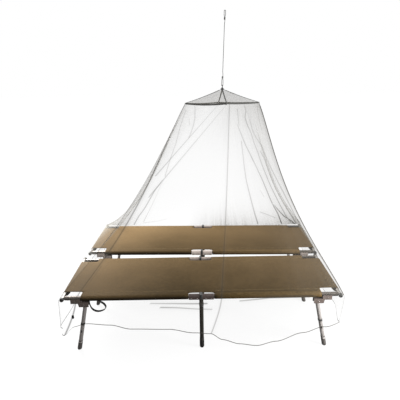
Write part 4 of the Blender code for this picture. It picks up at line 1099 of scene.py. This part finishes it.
# ---- repeated small pieces ----
def scatter_tree(name, sizes, ball, layout, material):
    """A Geometry Nodes tree that sets balls, stretched to its sizes, on points, and makes them real."""
    tree = bpy.data.node_groups.new(name, "GeometryNodeTree")
    tree.interface.new_socket("Geometry", in_out="INPUT", socket_type="NodeSocketGeometry")
    sockets = {}
    for label, default in sizes.items():
        socket = tree.interface.new_socket(label, in_out="INPUT", socket_type="NodeSocketFloat")
        socket.default_value = default
        sockets[label] = socket.identifier
    tree.interface.new_socket("Geometry", in_out="OUTPUT", socket_type="NodeSocketGeometry")
    add = partial(add_node, tree)
    start = add("NodeGroupInput", out=None).outputs
    unit = add("GeometryNodeMeshUVSphere", ball)
    size = add("CombineXYZ", (start["Width"], start["Width"], start["Height"]))
    piece = add("GeometryNodeTransform", {"Geometry": unit, "Scale": size})
    rows = add("GeometryNodeInstanceOnPoints", {**layout(add, start), "Instance": piece})
    real = add("GeometryNodeRealizeInstances", (rows,))
    done = add("GeometryNodeSetMaterial", {"Geometry": real, "Material": material})
    add("NodeGroupOutput", (done,), None)
    return tree, sockets


def stitch_layout(add, start):
    """Evenly spaced points along every curve."""
    spacing = {"Curve": start["Geometry"], "Length": start["Pitch"]}
    dots = add("GeometryNodeCurveToPoints", spacing, None, mode="LENGTH").outputs
    return {"Points": dots["Points"], "Rotation": dots["Rotation"]}


def rivet_layout(add, start):
    """The object's own points, with the direction each one faces and how large its head is."""
    facing = add("GeometryNodeInputNamedAttribute", {"Name": "facing"}, data_type="FLOAT_VECTOR")
    head = add("GeometryNodeInputNamedAttribute", {"Name": "head"}, data_type="FLOAT")
    turn = add("FunctionNodeAlignRotationToVector", {"Vector": facing}, axis="Z")
    return {"Points": start["Geometry"], "Rotation": turn, "Scale": head}


def scattered(data, scatter, sizes):
    """The balls that a tree sets on an object's data, as one plain mesh."""
    tree, sockets = scatter
    obj = linked(data.name, data)
    modifier = obj.modifiers.new("scatter", "NODES")
    modifier.node_group = tree
    for label, value in sizes.items():
        modifier[sockets[label]] = value
    mesh = mesh_of(obj)
    mesh.shade_smooth()
    return mesh


def rivet_points(rivets):
    """A mesh of single points from rows of (place, facing, head size)."""
    spots, facings, heads = zip(*rivets)
    points = bpy.data.meshes.new("rivets")
    points.from_pydata([tuple(spot) for spot in spots], [], [])
    points.attributes.new("facing", "FLOAT_VECTOR", "POINT")
    points.attributes.new("head", "FLOAT", "POINT")
    points.attributes["facing"].data.foreach_set("vector", [part for facing in facings for part in facing])
    points.attributes["head"].data.foreach_set("value", heads)
    return points


# ---- beds ----
def wrap_profile(radius):
    """Cloth round a bar: offsets (outward, up) from the bar's axis, from its top to the seam."""
    points = []
    for step in range(1, 5):
        angle = math.radians(90.0 - 40.0 * step)
        drop = 0.004 * (step / 4.0) ** 2
        points.append((radius * math.cos(angle), radius * math.sin(angle) - drop))
    # In radii of the cloth: under the bar, and up again to the seam.
    inner = ((-0.70, -1.10), (-1.74, -0.23), (-SLEEVE, 0.80))
    return points + [(radius * out, radius * up) for out, up in inner]


DECK_U = (-0.9375, -0.915, -0.885, -0.850, -0.815, -0.73, -0.64, -0.55, -0.42, -0.30, -0.19, -0.088, 0.0,
          0.088, 0.19, 0.30, 0.42, 0.55, 0.64, 0.73, 0.815, 0.850, 0.885, 0.915, 0.9375)
DECK_V = (-0.304, -0.285, -0.265, -0.245, -0.18, -0.09, 0.0, 0.09, 0.18, 0.245, 0.265, 0.285, 0.304)
SIDE_WRAP = wrap_profile(DECK_TOP_RADIUS + 0.0009)
END_WRAP = wrap_profile(DECK_END_RADIUS + 0.0007)
WRAPS = len(SIDE_WRAP)
DECK_Z = RAIL_Z + DECK_TOP_RADIUS


def deck_axis(index, stations, wrap, bar_at, bar_z):
    """Where one line of the deck's grid lies: distance from the middle, and height if wrapped."""
    last = len(stations) - 1
    if index < WRAPS:
        out, up = wrap[WRAPS - 1 - index]
        return -(bar_at + out), bar_z + up
    if index > WRAPS + last:
        out, up = wrap[index - WRAPS - last - 1]
        return bar_at + out, bar_z + up
    return stations[index - WRAPS], None


def deck_height(u, v):
    """The deck's sag and its shallow tension folds, which run in from the corners."""
    across = 1.0 - (v / RAIL_HALF_SPAN) ** 2
    along = 1.0 - (u / END_BAR_AT) ** 4
    pull = math.sin(abs(v) * TENSION_ACROSS + abs(u) * TENSION_ALONG) * TENSION_HEIGHT
    pull *= rounded_step((abs(u) - TENSION_START) / TENSION_RUN) * across
    return DECK_Z - DECK_SAG * across * along + pull


def deck_cell_kept(column, row, columns, rows):
    """Whether a cell of the deck's grid is cloth, and not one of its cut-outs."""
    end_wrap = not WRAPS <= column < columns - WRAPS
    side_wrap = not WRAPS <= row < rows - WRAPS
    u = 0.0 if end_wrap else 0.5 * (DECK_U[column - WRAPS] + DECK_U[column - WRAPS + 1])
    v = 0.0 if side_wrap else 0.5 * (DECK_V[row - WRAPS] + DECK_V[row - WRAPS + 1])
    if end_wrap:
        return not side_wrap and abs(v) < CORNER_NOTCH_V
    if side_wrap:
        return MIDDLE_NOTCH_U < abs(u) < CORNER_NOTCH_U
    if abs(u) < MIDDLE_NOTCH_U:
        return -MIDDLE_NOTCH_FRONT <= v <= MIDDLE_NOTCH_BACK
    return abs(u) <= CORNER_NOTCH_U or abs(v) <= CORNER_NOTCH_V


def deck_cloth(name, matrix):
    """The bed's cloth, with its sleeves and cut-outs, as one thick sheet."""
    columns = 2 * WRAPS + len(DECK_U) - 1
    rows = 2 * WRAPS + len(DECK_V) - 1
    bm = bmesh.new()
    verts = {}

    def vert(column, row):
        if (column, row) not in verts:
            u, end_z = deck_axis(column, DECK_U, END_WRAP, END_BAR_AT, RAIL_Z + END_BAR_LIFT)
            v, side_z = deck_axis(row, DECK_V, SIDE_WRAP, RAIL_HALF_SPAN, RAIL_Z)
            z = next((level for level in (side_z, end_z) if level is not None), deck_height(u, v))
            verts[(column, row)] = bm.verts.new((u, v, z))
        return verts[(column, row)]

    for column in range(columns):
        for row in range(rows):
            if deck_cell_kept(column, row, columns, rows):
                around = ((0, 0), (1, 0), (1, 1), (0, 1))
                bm.faces.new([vert(column + right, row + up) for right, up in around])
    mesh = mesh_from(bm, name)
    mesh.shade_smooth()
    solid = thicken(mesh, 0.0014, levels=2)
    solid.transform(matrix)
    return solid


def deck_stitches():
    """The sewn lines that close the sleeves, seen from above, in the bed's own frame."""
    runs = []
    for side in (-1.0, 1.0):
        for inset in (0.0, 0.007):
            v = side * (RAIL_HALF_SPAN - SLEEVE * DECK_TOP_RADIUS - inset)
            runs += [(-0.805, v, -0.100, v, 40), (0.100, v, 0.805, v, 40)]
    for side in (-1.0, 1.0):
        for inset in (0.0, 0.007):
            u = side * (END_BAR_AT - SLEEVE * DECK_END_RADIUS - inset)
            runs.append((u, -0.235, u, 0.235, 24))
    lines = []
    for first_u, first_v, last_u, last_v, steps in runs:
        shares = [step / steps for step in range(steps + 1)]
        spots = [(first_u + (last_u - first_u) * s, first_v + (last_v - first_v) * s) for s in shares]
        lines.append([Vector((u, v, deck_height(u, v) + 0.0009)) for u, v in spots])
    return lines


def bracket_rivets():
    """Rivets and pivots of a bed's brackets, in the bed's own frame: place, facing, head size."""
    rivets = []
    for side in (-1.0, 1.0):
        # Distance along the rail, height from it, size of the head, and the bracket's face.
        rows = [(u, -0.009, 1.0, 0.0173) for u in (-0.070, -0.028, 0.028, 0.070)]
        for end in (-1.0, 1.0):
            for u, z, head in ((0.797, -0.045, 1.5), (0.856, -0.020, 1.1), (0.838, -0.030, 0.8)):
                rows.append((end * u, z, head, BRACKET_HALF_WIDTH))
        for u, z, head, face in rows:
            for outward in (side, -side):
                spot = Vector((u, side * RAIL_HALF_SPAN + outward * face, RAIL_Z + z))
                rivets.append((spot, Vector((0.0, outward, 0.0)), head))
    return rivets


def collar(low, high):
    """A thin collar round a leg, with softened edges."""
    bore = LEG_RADIUS + 0.0002
    rim = LEG_RADIUS + 0.0014
    outside = ((rim - 0.0004, high), (rim, high - 0.001), (rim, low + 0.001), (rim - 0.0004, low))
    return turned_ring("collar", ((bore, high), *outside, (bore, low)), 24)


def leg_fittings(name):
    """The knuckles at a bed's middle brackets, and the collars and catches on its legs."""
    meshes = []
    for side in (-1.0, 1.0):
        meshes.append(rounded_block((0.0, side * RAIL_HALF_SPAN, 0.4000), (0.017, 0.041, 0.038), 0.10))
    for side in (-1.0, 1.0):
        for end in (-1.0, 0.0, 1.0):
            top = END_LEG_TOP_Z if end else MIDDLE_LEG_TOP_Z
            foot = end * END_LEG_FOOT_U
            lean = end * (END_LEG_TOP_U - END_LEG_FOOT_U)
            # From what height to what height each collar reaches.
            for low, high in ((0.196, 0.212) if end else (0.326, 0.348), (0.068, 0.074)):
                ring = collar(low, high)
                for vertex in ring.vertices:
                    vertex.co.x += foot + lean * vertex.co.z / top
                    vertex.co.y += side * RAIL_HALF_SPAN
                meshes.append(ring)
            level = 0.150 if end else 0.120
            spot = (foot + lean * level / top, side * (RAIL_HALF_SPAN + LEG_RADIUS + 0.002), level)
            meshes.append(rounded_block(spot, (0.008, 0.007, 0.016), 0.22))
    bm = bmesh.new()
    for mesh in meshes:
        bm.from_mesh(mesh)
    return smoothed(mesh_from(bm, name))


# ---- roof pieces, in the roof's own frame ----
def gore_mesh(side):
    """One gore of net, with its cloth coordinates in metres."""
    steps = 24
    points = []
    places = []
    for column in range(steps + 1):
        for row in range(steps, -1, -1):
            up = GORE_INNER * row / steps
            width = ROOF_SIDE * (1.0 - up)
            inset = GORE_GAP / width
            across = inset + (1.0 - 2.0 * inset) * column / steps
            points.append(roof_surface(side, across, up))
            places.append((width * (column / steps - 0.5), up * GORE_SLANT))
    mesh = grid_mesh("gore", points, steps + 1, steps + 1)
    cloth = mesh.uv_layers.new(name="cloth_metres")
    for loop in mesh.loops:
        cloth.data[loop.index].uv = places[loop.vertex_index]
    return mesh


def band_mesh(side):
    """One length of edge band."""
    steps = 40
    middle = BAND_LEVEL + (BAND_HEIGHT - BAND_DRAWN) / 2
    inset = BAND_GAP / ROOF_SIDE
    points = []
    for column in range(steps + 1):
        share = inset + (1.0 - 2.0 * inset) * column / steps
        points += [roof_edge(side + share, middle + BAND_DRAWN * (0.5 - row / 4)) for row in range(5)]
    return thicken(grid_mesh("band", points, steps + 1, 5), 0.0015)


def ridge_mesh(side):
    """The tape over the ridge at the start of a side, which laps both gores."""
    before = (side - 1) % 4
    rows = 24
    lift = 0.0015
    points = []
    for row in range(rows + 1):
        up = RIDGE_FOOT + (TAPE_INNER - RIDGE_FOOT) * row / rows
        share = TAPE_HALF_WIDTH / (ROOF_SIDE * (1.0 - up))
        middle = surface_normal(before, 0.985, up) + surface_normal(side, 0.015, up)
        left = roof_surface(before, 1.0 - share, up) + lift * surface_normal(before, 1.0 - share, up)
        right = roof_surface(side, share, up) + lift * surface_normal(side, share, up)
        ridge = roof_surface(side, 0.0, up) + 1.12 * lift * middle.normalized()
        points += [left, ridge, right]
    return thicken(grid_mesh("ridge", points, rows + 1, 3, flip=True), 0.0009)


# ---- settings ----
def colour_setting(name, description, code):
    """A colour, from its hex code."""
    shown = {"name": name, "description": description, "subtype": "COLOR"}
    return FloatVectorProperty(default=linear(code), min=0.0, max=1.0, **shown)


def share_setting(name, description, value):
    """A share from 0 to 1."""
    return FloatProperty(name=name, description=description, default=value, min=0.0, max=1.0)


def length_setting(name, description, value):
    """A length in metres."""
    return FloatProperty(name=name, description=description, default=value, subtype="DISTANCE", unit="LENGTH")


class CanopyLook(bpy.types.PropertyGroup):
    """Sizes and colours of the net and its tapes."""

    cell: length_setting("Net cell", "Width of a drawn cell", 0.006)
    fold_width: length_setting("Fold width", "Half width of a fold's dark line", 0.0040)
    hem_width: length_setting("Hem width", "Width of the doubled hem", 0.006)
    pleat_cover: share_setting("Pleats", "How dense the small pleats are", 0.12)
    net_cover: share_setting("Net cover", "Share of flat net that is thread", 0.014)
    roof_cover: share_setting("Roof cover", "Share of the roof's net that is thread", 0.22)
    net_light: colour_setting("Net", "Threads of flat net", "8C8981")
    # Painted shade: the colour the net's threads take in folds and hems.
    net_fold_shade: colour_setting("Folded net", "Threads in a deep fold, darkened as painted shade", "4E4A43")
    tape: colour_setting("Tape", "Edging tape", "5A5A57")
    cord: colour_setting("Cord", "Hanging cord", "4C4C4A")


class BedLook(bpy.types.PropertyGroup):
    """Sizes and colours of the two beds."""

    # The deep and pale cloth carry the decks' painted light and shade as well as their mottling.
    deck_deep: colour_setting("Canvas", "Deck cloth", "3E3017")
    deck_pale: colour_setting("Pale canvas", "Deck cloth where it is paler, with painted light on it", "816A4A")
    rail: colour_setting("Rails", "Drawn aluminium", "7C756F")
    end_bar: colour_setting("End bars", "Drawn aluminium, paler", "B9B4AE")
    leg: colour_setting("Legs", "Anodised aluminium", "B4AEAA")
    # Painted shade: the middle legs are a darker copy of the leg colour.
    middle_leg_shade: colour_setting("Middle legs", "Anodised aluminium, darkened as painted shade", "38352F")
    # Painted light and shade: the far bed's front brackets are a paler copy of the bracket colour, the near
    # bed's front ones darker copies.
    bracket: colour_setting("Brackets", "Painted steel", "A6988F")
    pale_bracket: colour_setting("Pale brackets", "The far bed's front brackets", "D2C5BD")
    front_bracket: colour_setting("Front brackets", "The near bed's front brackets, darkened as painted shade", "6A5E58")
    middle_bracket: colour_setting("Middle bracket", "The near bed's middle bracket, darkened as painted shade", "4C3F3B")
    strap: colour_setting("Strap", "Webbing", "2A2A29")
    stitch_pitch: length_setting("Stitch pitch", "From one stitch to the next", 0.006)
    rivet_radius: length_setting("Rivet", "Radius of a rivet's head", 0.0036)


# ---- operators ----
class CANOPY_OT_camera(bpy.types.Operator):
    """Place the camera at the photograph's viewing angle"""

    bl_idname = "canopy.camera"
    bl_label = "Camera"

    def execute(self, context):
        # The place, angles and focal length at which both beds come out as one size.
        place = Vector((0.0803, -3.3589, 1.8735))
        yaw, pitch, roll = [math.radians(angle) for angle in (-1.499, 16.525, 0.8445)]
        focal_pixels, picture_pixels = 441.13, 400.0
        forward = Vector((math.sin(yaw) * math.cos(pitch), math.cos(yaw) * math.cos(pitch), -math.sin(pitch)))
        level = Vector((math.cos(yaw), -math.sin(yaw), 0.0))
        down = forward.cross(level)
        right = level * math.cos(roll) + down * math.sin(roll)
        under = down * math.cos(roll) - level * math.sin(roll)
        data = bpy.data.cameras.new("camera")
        data.sensor_width = 36.0
        data.lens = focal_pixels / picture_pixels * data.sensor_width
        camera = linked("camera", data)
        turn = Matrix((right, -under, -forward)).transposed().to_4x4()
        camera.matrix_world = Matrix.Translation(place + PLAN_SHIFT) @ turn
        context.scene.camera = camera
        return {"FINISHED"}


class CANOPY_OT_cord(bpy.types.Operator):
    """Make the hanging cord and the whippings that close its loops"""

    bl_idname = "canopy.cord"
    bl_label = "Hanging cord"

    def execute(self, context):
        look = context.scene.canopy_look
        route = cord_route()
        curve = poly_curve("cord_line", [route])
        curve.bevel_depth = CORD_RADIUS
        curve.bevel_resolution = 3
        curve.use_fill_caps = True
        braid = braided_cord("braided polyester cord", look.cord)
        cord = add_piece("cord_line", curve, braid, "cord", "hanging_cord")

        # The whippings are wound thread: one ridge a turn, flattened over the two strands.
        bearing, along, across, length = cord_frame()
        turn = Matrix((across, along.cross(across), along)).transposed().to_4x4()
        upper = length + CORD_RADIUS - UPPER_LOOP_DEPTH
        thread = braided_cord("whipping thread", [value * 2.4 for value in look.cord])
        bore, outside, ridge, turns, wide, deep = 0.0044, 0.0050, 0.00035, 9, 1.16, 0.66
        for word, level in (("lower", 0.049), ("upper", upper - 0.005)):
            shares = [step / (turns * 4) for step in range(turns * 4 + 1)]
            wave = [outside + ridge * math.cos(2.0 * math.pi * turns * share) for share in shares]
            profile = [(radius, WHIPPING_LENGTH * (1.0 - share)) for radius, share in zip(wave, shares)]
            profile += [(bore, 0.0), (bore, WHIPPING_LENGTH)]
            mesh = turned_ring("whipping", profile, 20)
            mesh.transform(Matrix.Diagonal((wide, deep, 1.0, 1.0)))
            mesh.transform(Matrix.Translation(bearing + along * level + PLAN_SHIFT) @ turn)
            add_piece(f"whipping_{word}", mesh, thread, "cord", f"cord_whipping_{word}")
        return {"FINISHED"}


class CANOPY_OT_walls(bpy.types.Operator):
    """Make the four wall panels of net with their folds and hems, and the toggle on them"""

    bl_idname = "canopy.walls"
    bl_label = "Net walls"

    def execute(self, context):
        look = context.scene.canopy_look
        net = polyester_net("warp-knitted polyester net", look, look.net_cover, True)
        for name, (lines, cut) in PANELS.items():
            mesh = wall_mesh(name, lines)
            piece = add_piece(name.replace("wall", "net"), mesh, net, "net", name)

        # The moulded toggle on the net at its front left corner, placed in the near bed's frame.
        toggle = rounded_block((-0.868, -0.353, 0.284), (0.015, 0.009, 0.025), 0.24)
        toggle.shade_smooth()
        toggle.transform(BEDS[0][2])
        add_piece("net_toggle", toggle, moulded_plastic("black moulded toggle", linear("1C1C1C")), "plastic")
        return {"FINISHED"}


class CANOPY_OT_roof(bpy.types.Operator):
    """Make the roof's gores, ridge tapes and edge band"""

    bl_idname = "canopy.roof"
    bl_label = "Roof"

    def execute(self, context):
        look = context.scene.canopy_look
        net = polyester_net("denser roof net", look, look.roof_cover, False)
        tape = woven_tape("woven edging tape", look.tape, 0.0012)
        matrix = Matrix.Translation(PLAN_SHIFT) @ roof_matrix()
        words = ("front_left", "front_right", "back_right", "back_left")
        corners = ("left", "front", "right", "back")
        for side, (word, corner) in enumerate(zip(words, corners)):
            meshes = (gore_mesh(side), band_mesh(side), ridge_mesh(side))
            for mesh in meshes:
                mesh.transform(matrix)
            gore = add_piece(f"gore_{word}", meshes[0], net, "roof_net", f"roof_gore_{word}")
            band = add_piece(f"band_{word}", meshes[1], tape, "tape", f"edge_band_{word}")
            ridge = add_piece(f"tape_{corner}", meshes[2], tape, "tape", f"ridge_tape_{corner}")
        return {"FINISHED"}


class CANOPY_OT_frame_finish(bpy.types.Operator):
    """Give the solids that stay in view their metal and plastic finishes"""

    bl_idname = "canopy.frame_finish"
    bl_label = "Frame finishes"

    def execute(self, context):
        look = context.scene.bed_look
        pressed = (60.0, 60.0, 60.0)
        worn = (0.50, 0.65)
        painted = (0.45, 0.62)
        # Part of a node's name, where a later row wins; then what the metal is made with.
        metals = (
            ("_rail_", "drawn aluminium rail", look.rail, (0.22, 0.36), (3.0, 240.0, 240.0), 1.0),
            ("spreader_rod", "drawn steel rod", linear("8A8A88"), (0.25, 0.40), (200.0, 200.0, 200.0), 1.0),
            ("_bracket_", "painted pressed steel", look.bracket, painted, pressed, 0.15),
            # Painted light and shade: paler copies for the far bed's front brackets, darker ones for the near
            # bed's front brackets, the middle one darkest.
            ("far_bracket_front", "pale bracket steel", look.pale_bracket, painted, pressed, 0.15),
            ("near_bracket_front", "worn bracket steel", look.front_bracket, worn, pressed, 0.15),
            ("near_bracket_front_middle", "scuffed bracket steel", look.middle_bracket, worn, pressed, 0.15),
        )
        finishes = {key: metal(*row) for key, *row in metals}
        leg = ((0.38, 0.52), (220.0, 220.0, 4.0), 0.45)
        finishes["_leg_"] = capped_metal("anodised aluminium leg", look.leg, *leg, linear("5E5A57"))
        # Painted shade: the middle legs get a darker copy of the leg finish and of its caps.
        leg_in_painted_shade = capped_metal("anodised middle leg in painted shade", look.middle_leg_shade, *leg, linear("272624"))
        finishes["_leg_front_middle"] = leg_in_painted_shade
        finishes["_leg_back_middle"] = leg_in_painted_shade
        bar = ((0.26, 0.42), (240.0, 3.0, 240.0), 1.0)
        for word, _, matrix in BEDS:
            name = f"{word} end bar aluminium"
            finishes[f"{word}_end_bar"] = capped_metal(name, look.end_bar, *bar, linear("2B2B2B"), matrix)
        finishes["spreader_hub"] = moulded_plastic("moulded nylon hub", linear("3A3A3A"))
        finishes["apex_cap"] = moulded_plastic("moulded nylon cap", linear("343434"))
        for name, obj in NODES.items():
            for key, material in finishes.items():
                if key in name:
                    for slot in obj.material_slots:
                        slot.material = material
        return {"FINISHED"}


class CANOPY_OT_decks(bpy.types.Operator):
    """Make each bed's cloth and the stitches that close its sleeves"""

    bl_idname = "canopy.decks"
    bl_label = "Decks"

    def execute(self, context):
        look = context.scene.bed_look
        thread = woven_tape("sewing thread", linear("8C7752"), 0.0006)
        sizes = {"Pitch": look.stitch_pitch, "Width": 0.0009, "Height": 0.0042}
        ball = {"Segments": 6, "Rings": 4, "Radius": 0.5}
        scatter = scatter_tree("stitches", sizes, ball, stitch_layout, thread)
        # Painted light: the far bed's whole cloth is drawn paler.
        painted_lift = {"near": 0.0, "far": 0.18}
        for word, turn, matrix in BEDS:
            middle = (Matrix.Rotation(-turn, 4, "Z") @ matrix).to_translation().y
            canvas = coated_canvas(f"{word} deck canvas", look, turn, middle, painted_lift[word])
            mesh = deck_cloth(f"{word}_deck", matrix)
            deck = add_piece(f"{word}_deck_cloth", mesh, canvas, "deck_cloth", f"{word}_deck")
            paths = [[matrix @ point for point in path] for path in deck_stitches()]
            rows = scattered(poly_curve("stitches", paths), scatter, sizes)
            stitches = add_piece(f"{word}_deck_stitches", rows, thread, "deck_cloth")
        return {"FINISHED"}


class CANOPY_OT_fittings(bpy.types.Operator):
    """Make the beds' rivets, knuckles, collars and catches"""

    bl_idname = "canopy.fittings"
    bl_label = "Fittings"

    def execute(self, context):
        look = context.scene.bed_look
        steel = metal("rivet steel", linear("A9A19D"), (0.28, 0.40), (90.0, 90.0, 90.0))
        dark = moulded_plastic("moulded nylon collar", linear("333231"))
        sizes = {"Width": look.rivet_radius, "Height": 0.0016}
        ball = {"Segments": 12, "Rings": 6, "Radius": 1.0}
        scatter = scatter_tree("rivets", sizes, ball, rivet_layout, steel)
        for word, _, matrix in BEDS:
            spin = matrix.to_3x3()
            rivets = [(matrix @ spot, spin @ facing, head) for spot, facing, head in bracket_rivets()]
            mesh = scattered(rivet_points(rivets), scatter, sizes)
            add_piece(f"{word}_rivets", mesh, steel, "bracket_steel")
            mesh = leg_fittings("fittings")
            mesh.transform(matrix)
            add_piece(f"{word}_leg_fittings", mesh, dark, "plastic")
        return {"FINISHED"}


class CANOPY_OT_strap(bpy.types.Operator):
    """Make the near bed's strap"""

    bl_idname = "canopy.strap"
    bl_label = "Strap"

    def execute(self, context):
        webbing = woven_tape("woven webbing", context.scene.bed_look.strap, 0.0012)
        most_twist = math.radians(62.0)
        last = len(STRAP) - 1
        points = []
        for number, point in enumerate(STRAP):
            # The webbing twists as it turns up again.
            twist = most_twist * rounded_step((number - 1) / 5) * rounded_step((last - number) / 3)
            for row in range(3):
                across = STRAP_WIDTH * (row / 2 - 0.5)
                spot = Vector((point.u, -RAIL_HALF_SPAN + across * math.cos(twist), point.z))
                points.append(spot + Vector((0.6, 0.0, 0.8)) * across * math.sin(twist))
        mesh = thicken(grid_mesh("strap", points, len(STRAP), 3), 0.0032, levels=2)
        mesh.transform(BEDS[0][2])
        piece = add_piece("strap_webbing", mesh, webbing, "strap", "near_strap")
        return {"FINISHED"}


class CANOPY_OT_stage(bpy.types.Operator):
    """Set up the pale floor and the soft studio light"""

    bl_idname = "canopy.stage"
    bl_label = "Stage"

    def execute(self, context):
        scene = context.scene
        bm = bmesh.new()
        bmesh.ops.create_grid(bm, x_segments=1, y_segments=1, size=30.0)
        mesh = mesh_from(bm, "floor")
        mesh.materials.append(studio_floor("matt white paper sweep"))
        mesh.transform(Matrix.Translation((0.0, 0.0, -0.0002)))
        linked("floor", mesh)

        # White to the camera; as light, a soft box overhead that is brighter at the back.
        world = bpy.data.worlds.new("studio")
        world.use_nodes = True
        add = partial(add_node, world.node_tree)
        direction = add("SeparateXYZ", (add("TexCoord", out="Object"),), None).outputs
        height = add("MapRange", (direction["Z"], -0.05, 0.9, 0.12, 1.50))
        depth = add("MapRange", (direction["Y"], -1.0, 1.0, 0.28, 1.30))
        soft_box = add("Math", (height, depth), operation="MULTIPLY")
        seen = add("LightPath", out="Is Camera Ray")
        strength = add("Mix", {"Factor": seen, 2: soft_box, 3: 1.0}, data_type="FLOAT")
        feed(world.node_tree.nodes["Background"], {"Color": (1.0, 1.0, 1.0), "Strength": strength})
        scene.world = world

        # Each lamp's name, place, width and watts.
        lamps = (
            ("key", (-1.5, 1.0, 1.40), 0.8, 58.0),
            ("fill", (1.8, -1.25, 0.7), 0.6, 40.0),
            ("rim", (1.5, -2.3, 1.1), 0.5, 8.0),
        )
        for name, spot, size, power in lamps:
            data = bpy.data.lights.new(name, "AREA")
            data.size = size
            data.energy = power
            lamp = linked(name, data)
            lamp.location = spot
            aim = Vector((0.0, 0.0, 0.5)) - Vector(spot)
            lamp.rotation_euler = aim.to_track_quat("-Z", "Y").to_euler()
            lamp.visible_camera = False
        scene.view_settings.view_transform = "Standard"
        scene.cycles.transparent_max_bounces = 40
        return {"FINISHED"}


class CANOPY_PT_panel(bpy.types.Panel):
    """The canopy's settings and steps"""

    bl_idname = "CANOPY_PT_panel"
    bl_label = "Mosquito net canopy"
    bl_space_type = "VIEW_3D"
    bl_region_type = "UI"
    bl_category = "Canopy"

    def draw(self, context):
        for group in (context.scene.canopy_look, context.scene.bed_look):
            box = self.layout.box()
            for prop in group.bl_rna.properties:
                if prop.identifier not in ("rna_type", "name"):
                    box.prop(group, prop.identifier)
        for operator in OPERATORS:
            self.layout.operator(operator.bl_idname)


OPERATORS = (
    CANOPY_OT_camera,
    CANOPY_OT_cord,
    CANOPY_OT_walls,
    CANOPY_OT_roof,
    CANOPY_OT_frame_finish,
    CANOPY_OT_decks,
    CANOPY_OT_fittings,
    CANOPY_OT_strap,
    CANOPY_OT_stage,
)
CLASSES = (CanopyLook, BedLook, *OPERATORS, CANOPY_PT_panel)


def register():
    """Register the classes and the scene's settings."""
    for cls in CLASSES:
        bpy.utils.register_class(cls)
    bpy.types.Scene.canopy_look = PointerProperty(type=CanopyLook)
    bpy.types.Scene.bed_look = PointerProperty(type=BedLook)


def unregister():
    """Take the settings and classes away again."""
    del bpy.types.Scene.bed_look
    del bpy.types.Scene.canopy_look
    for cls in reversed(CLASSES):
        bpy.utils.unregister_class(cls)


def main():
    """Make every piece."""
    register()
    for operator in OPERATORS:
        group, name = operator.bl_idname.split(".")
        getattr(getattr(bpy.ops, group), name)()


if __name__ == "__main__":
    main()
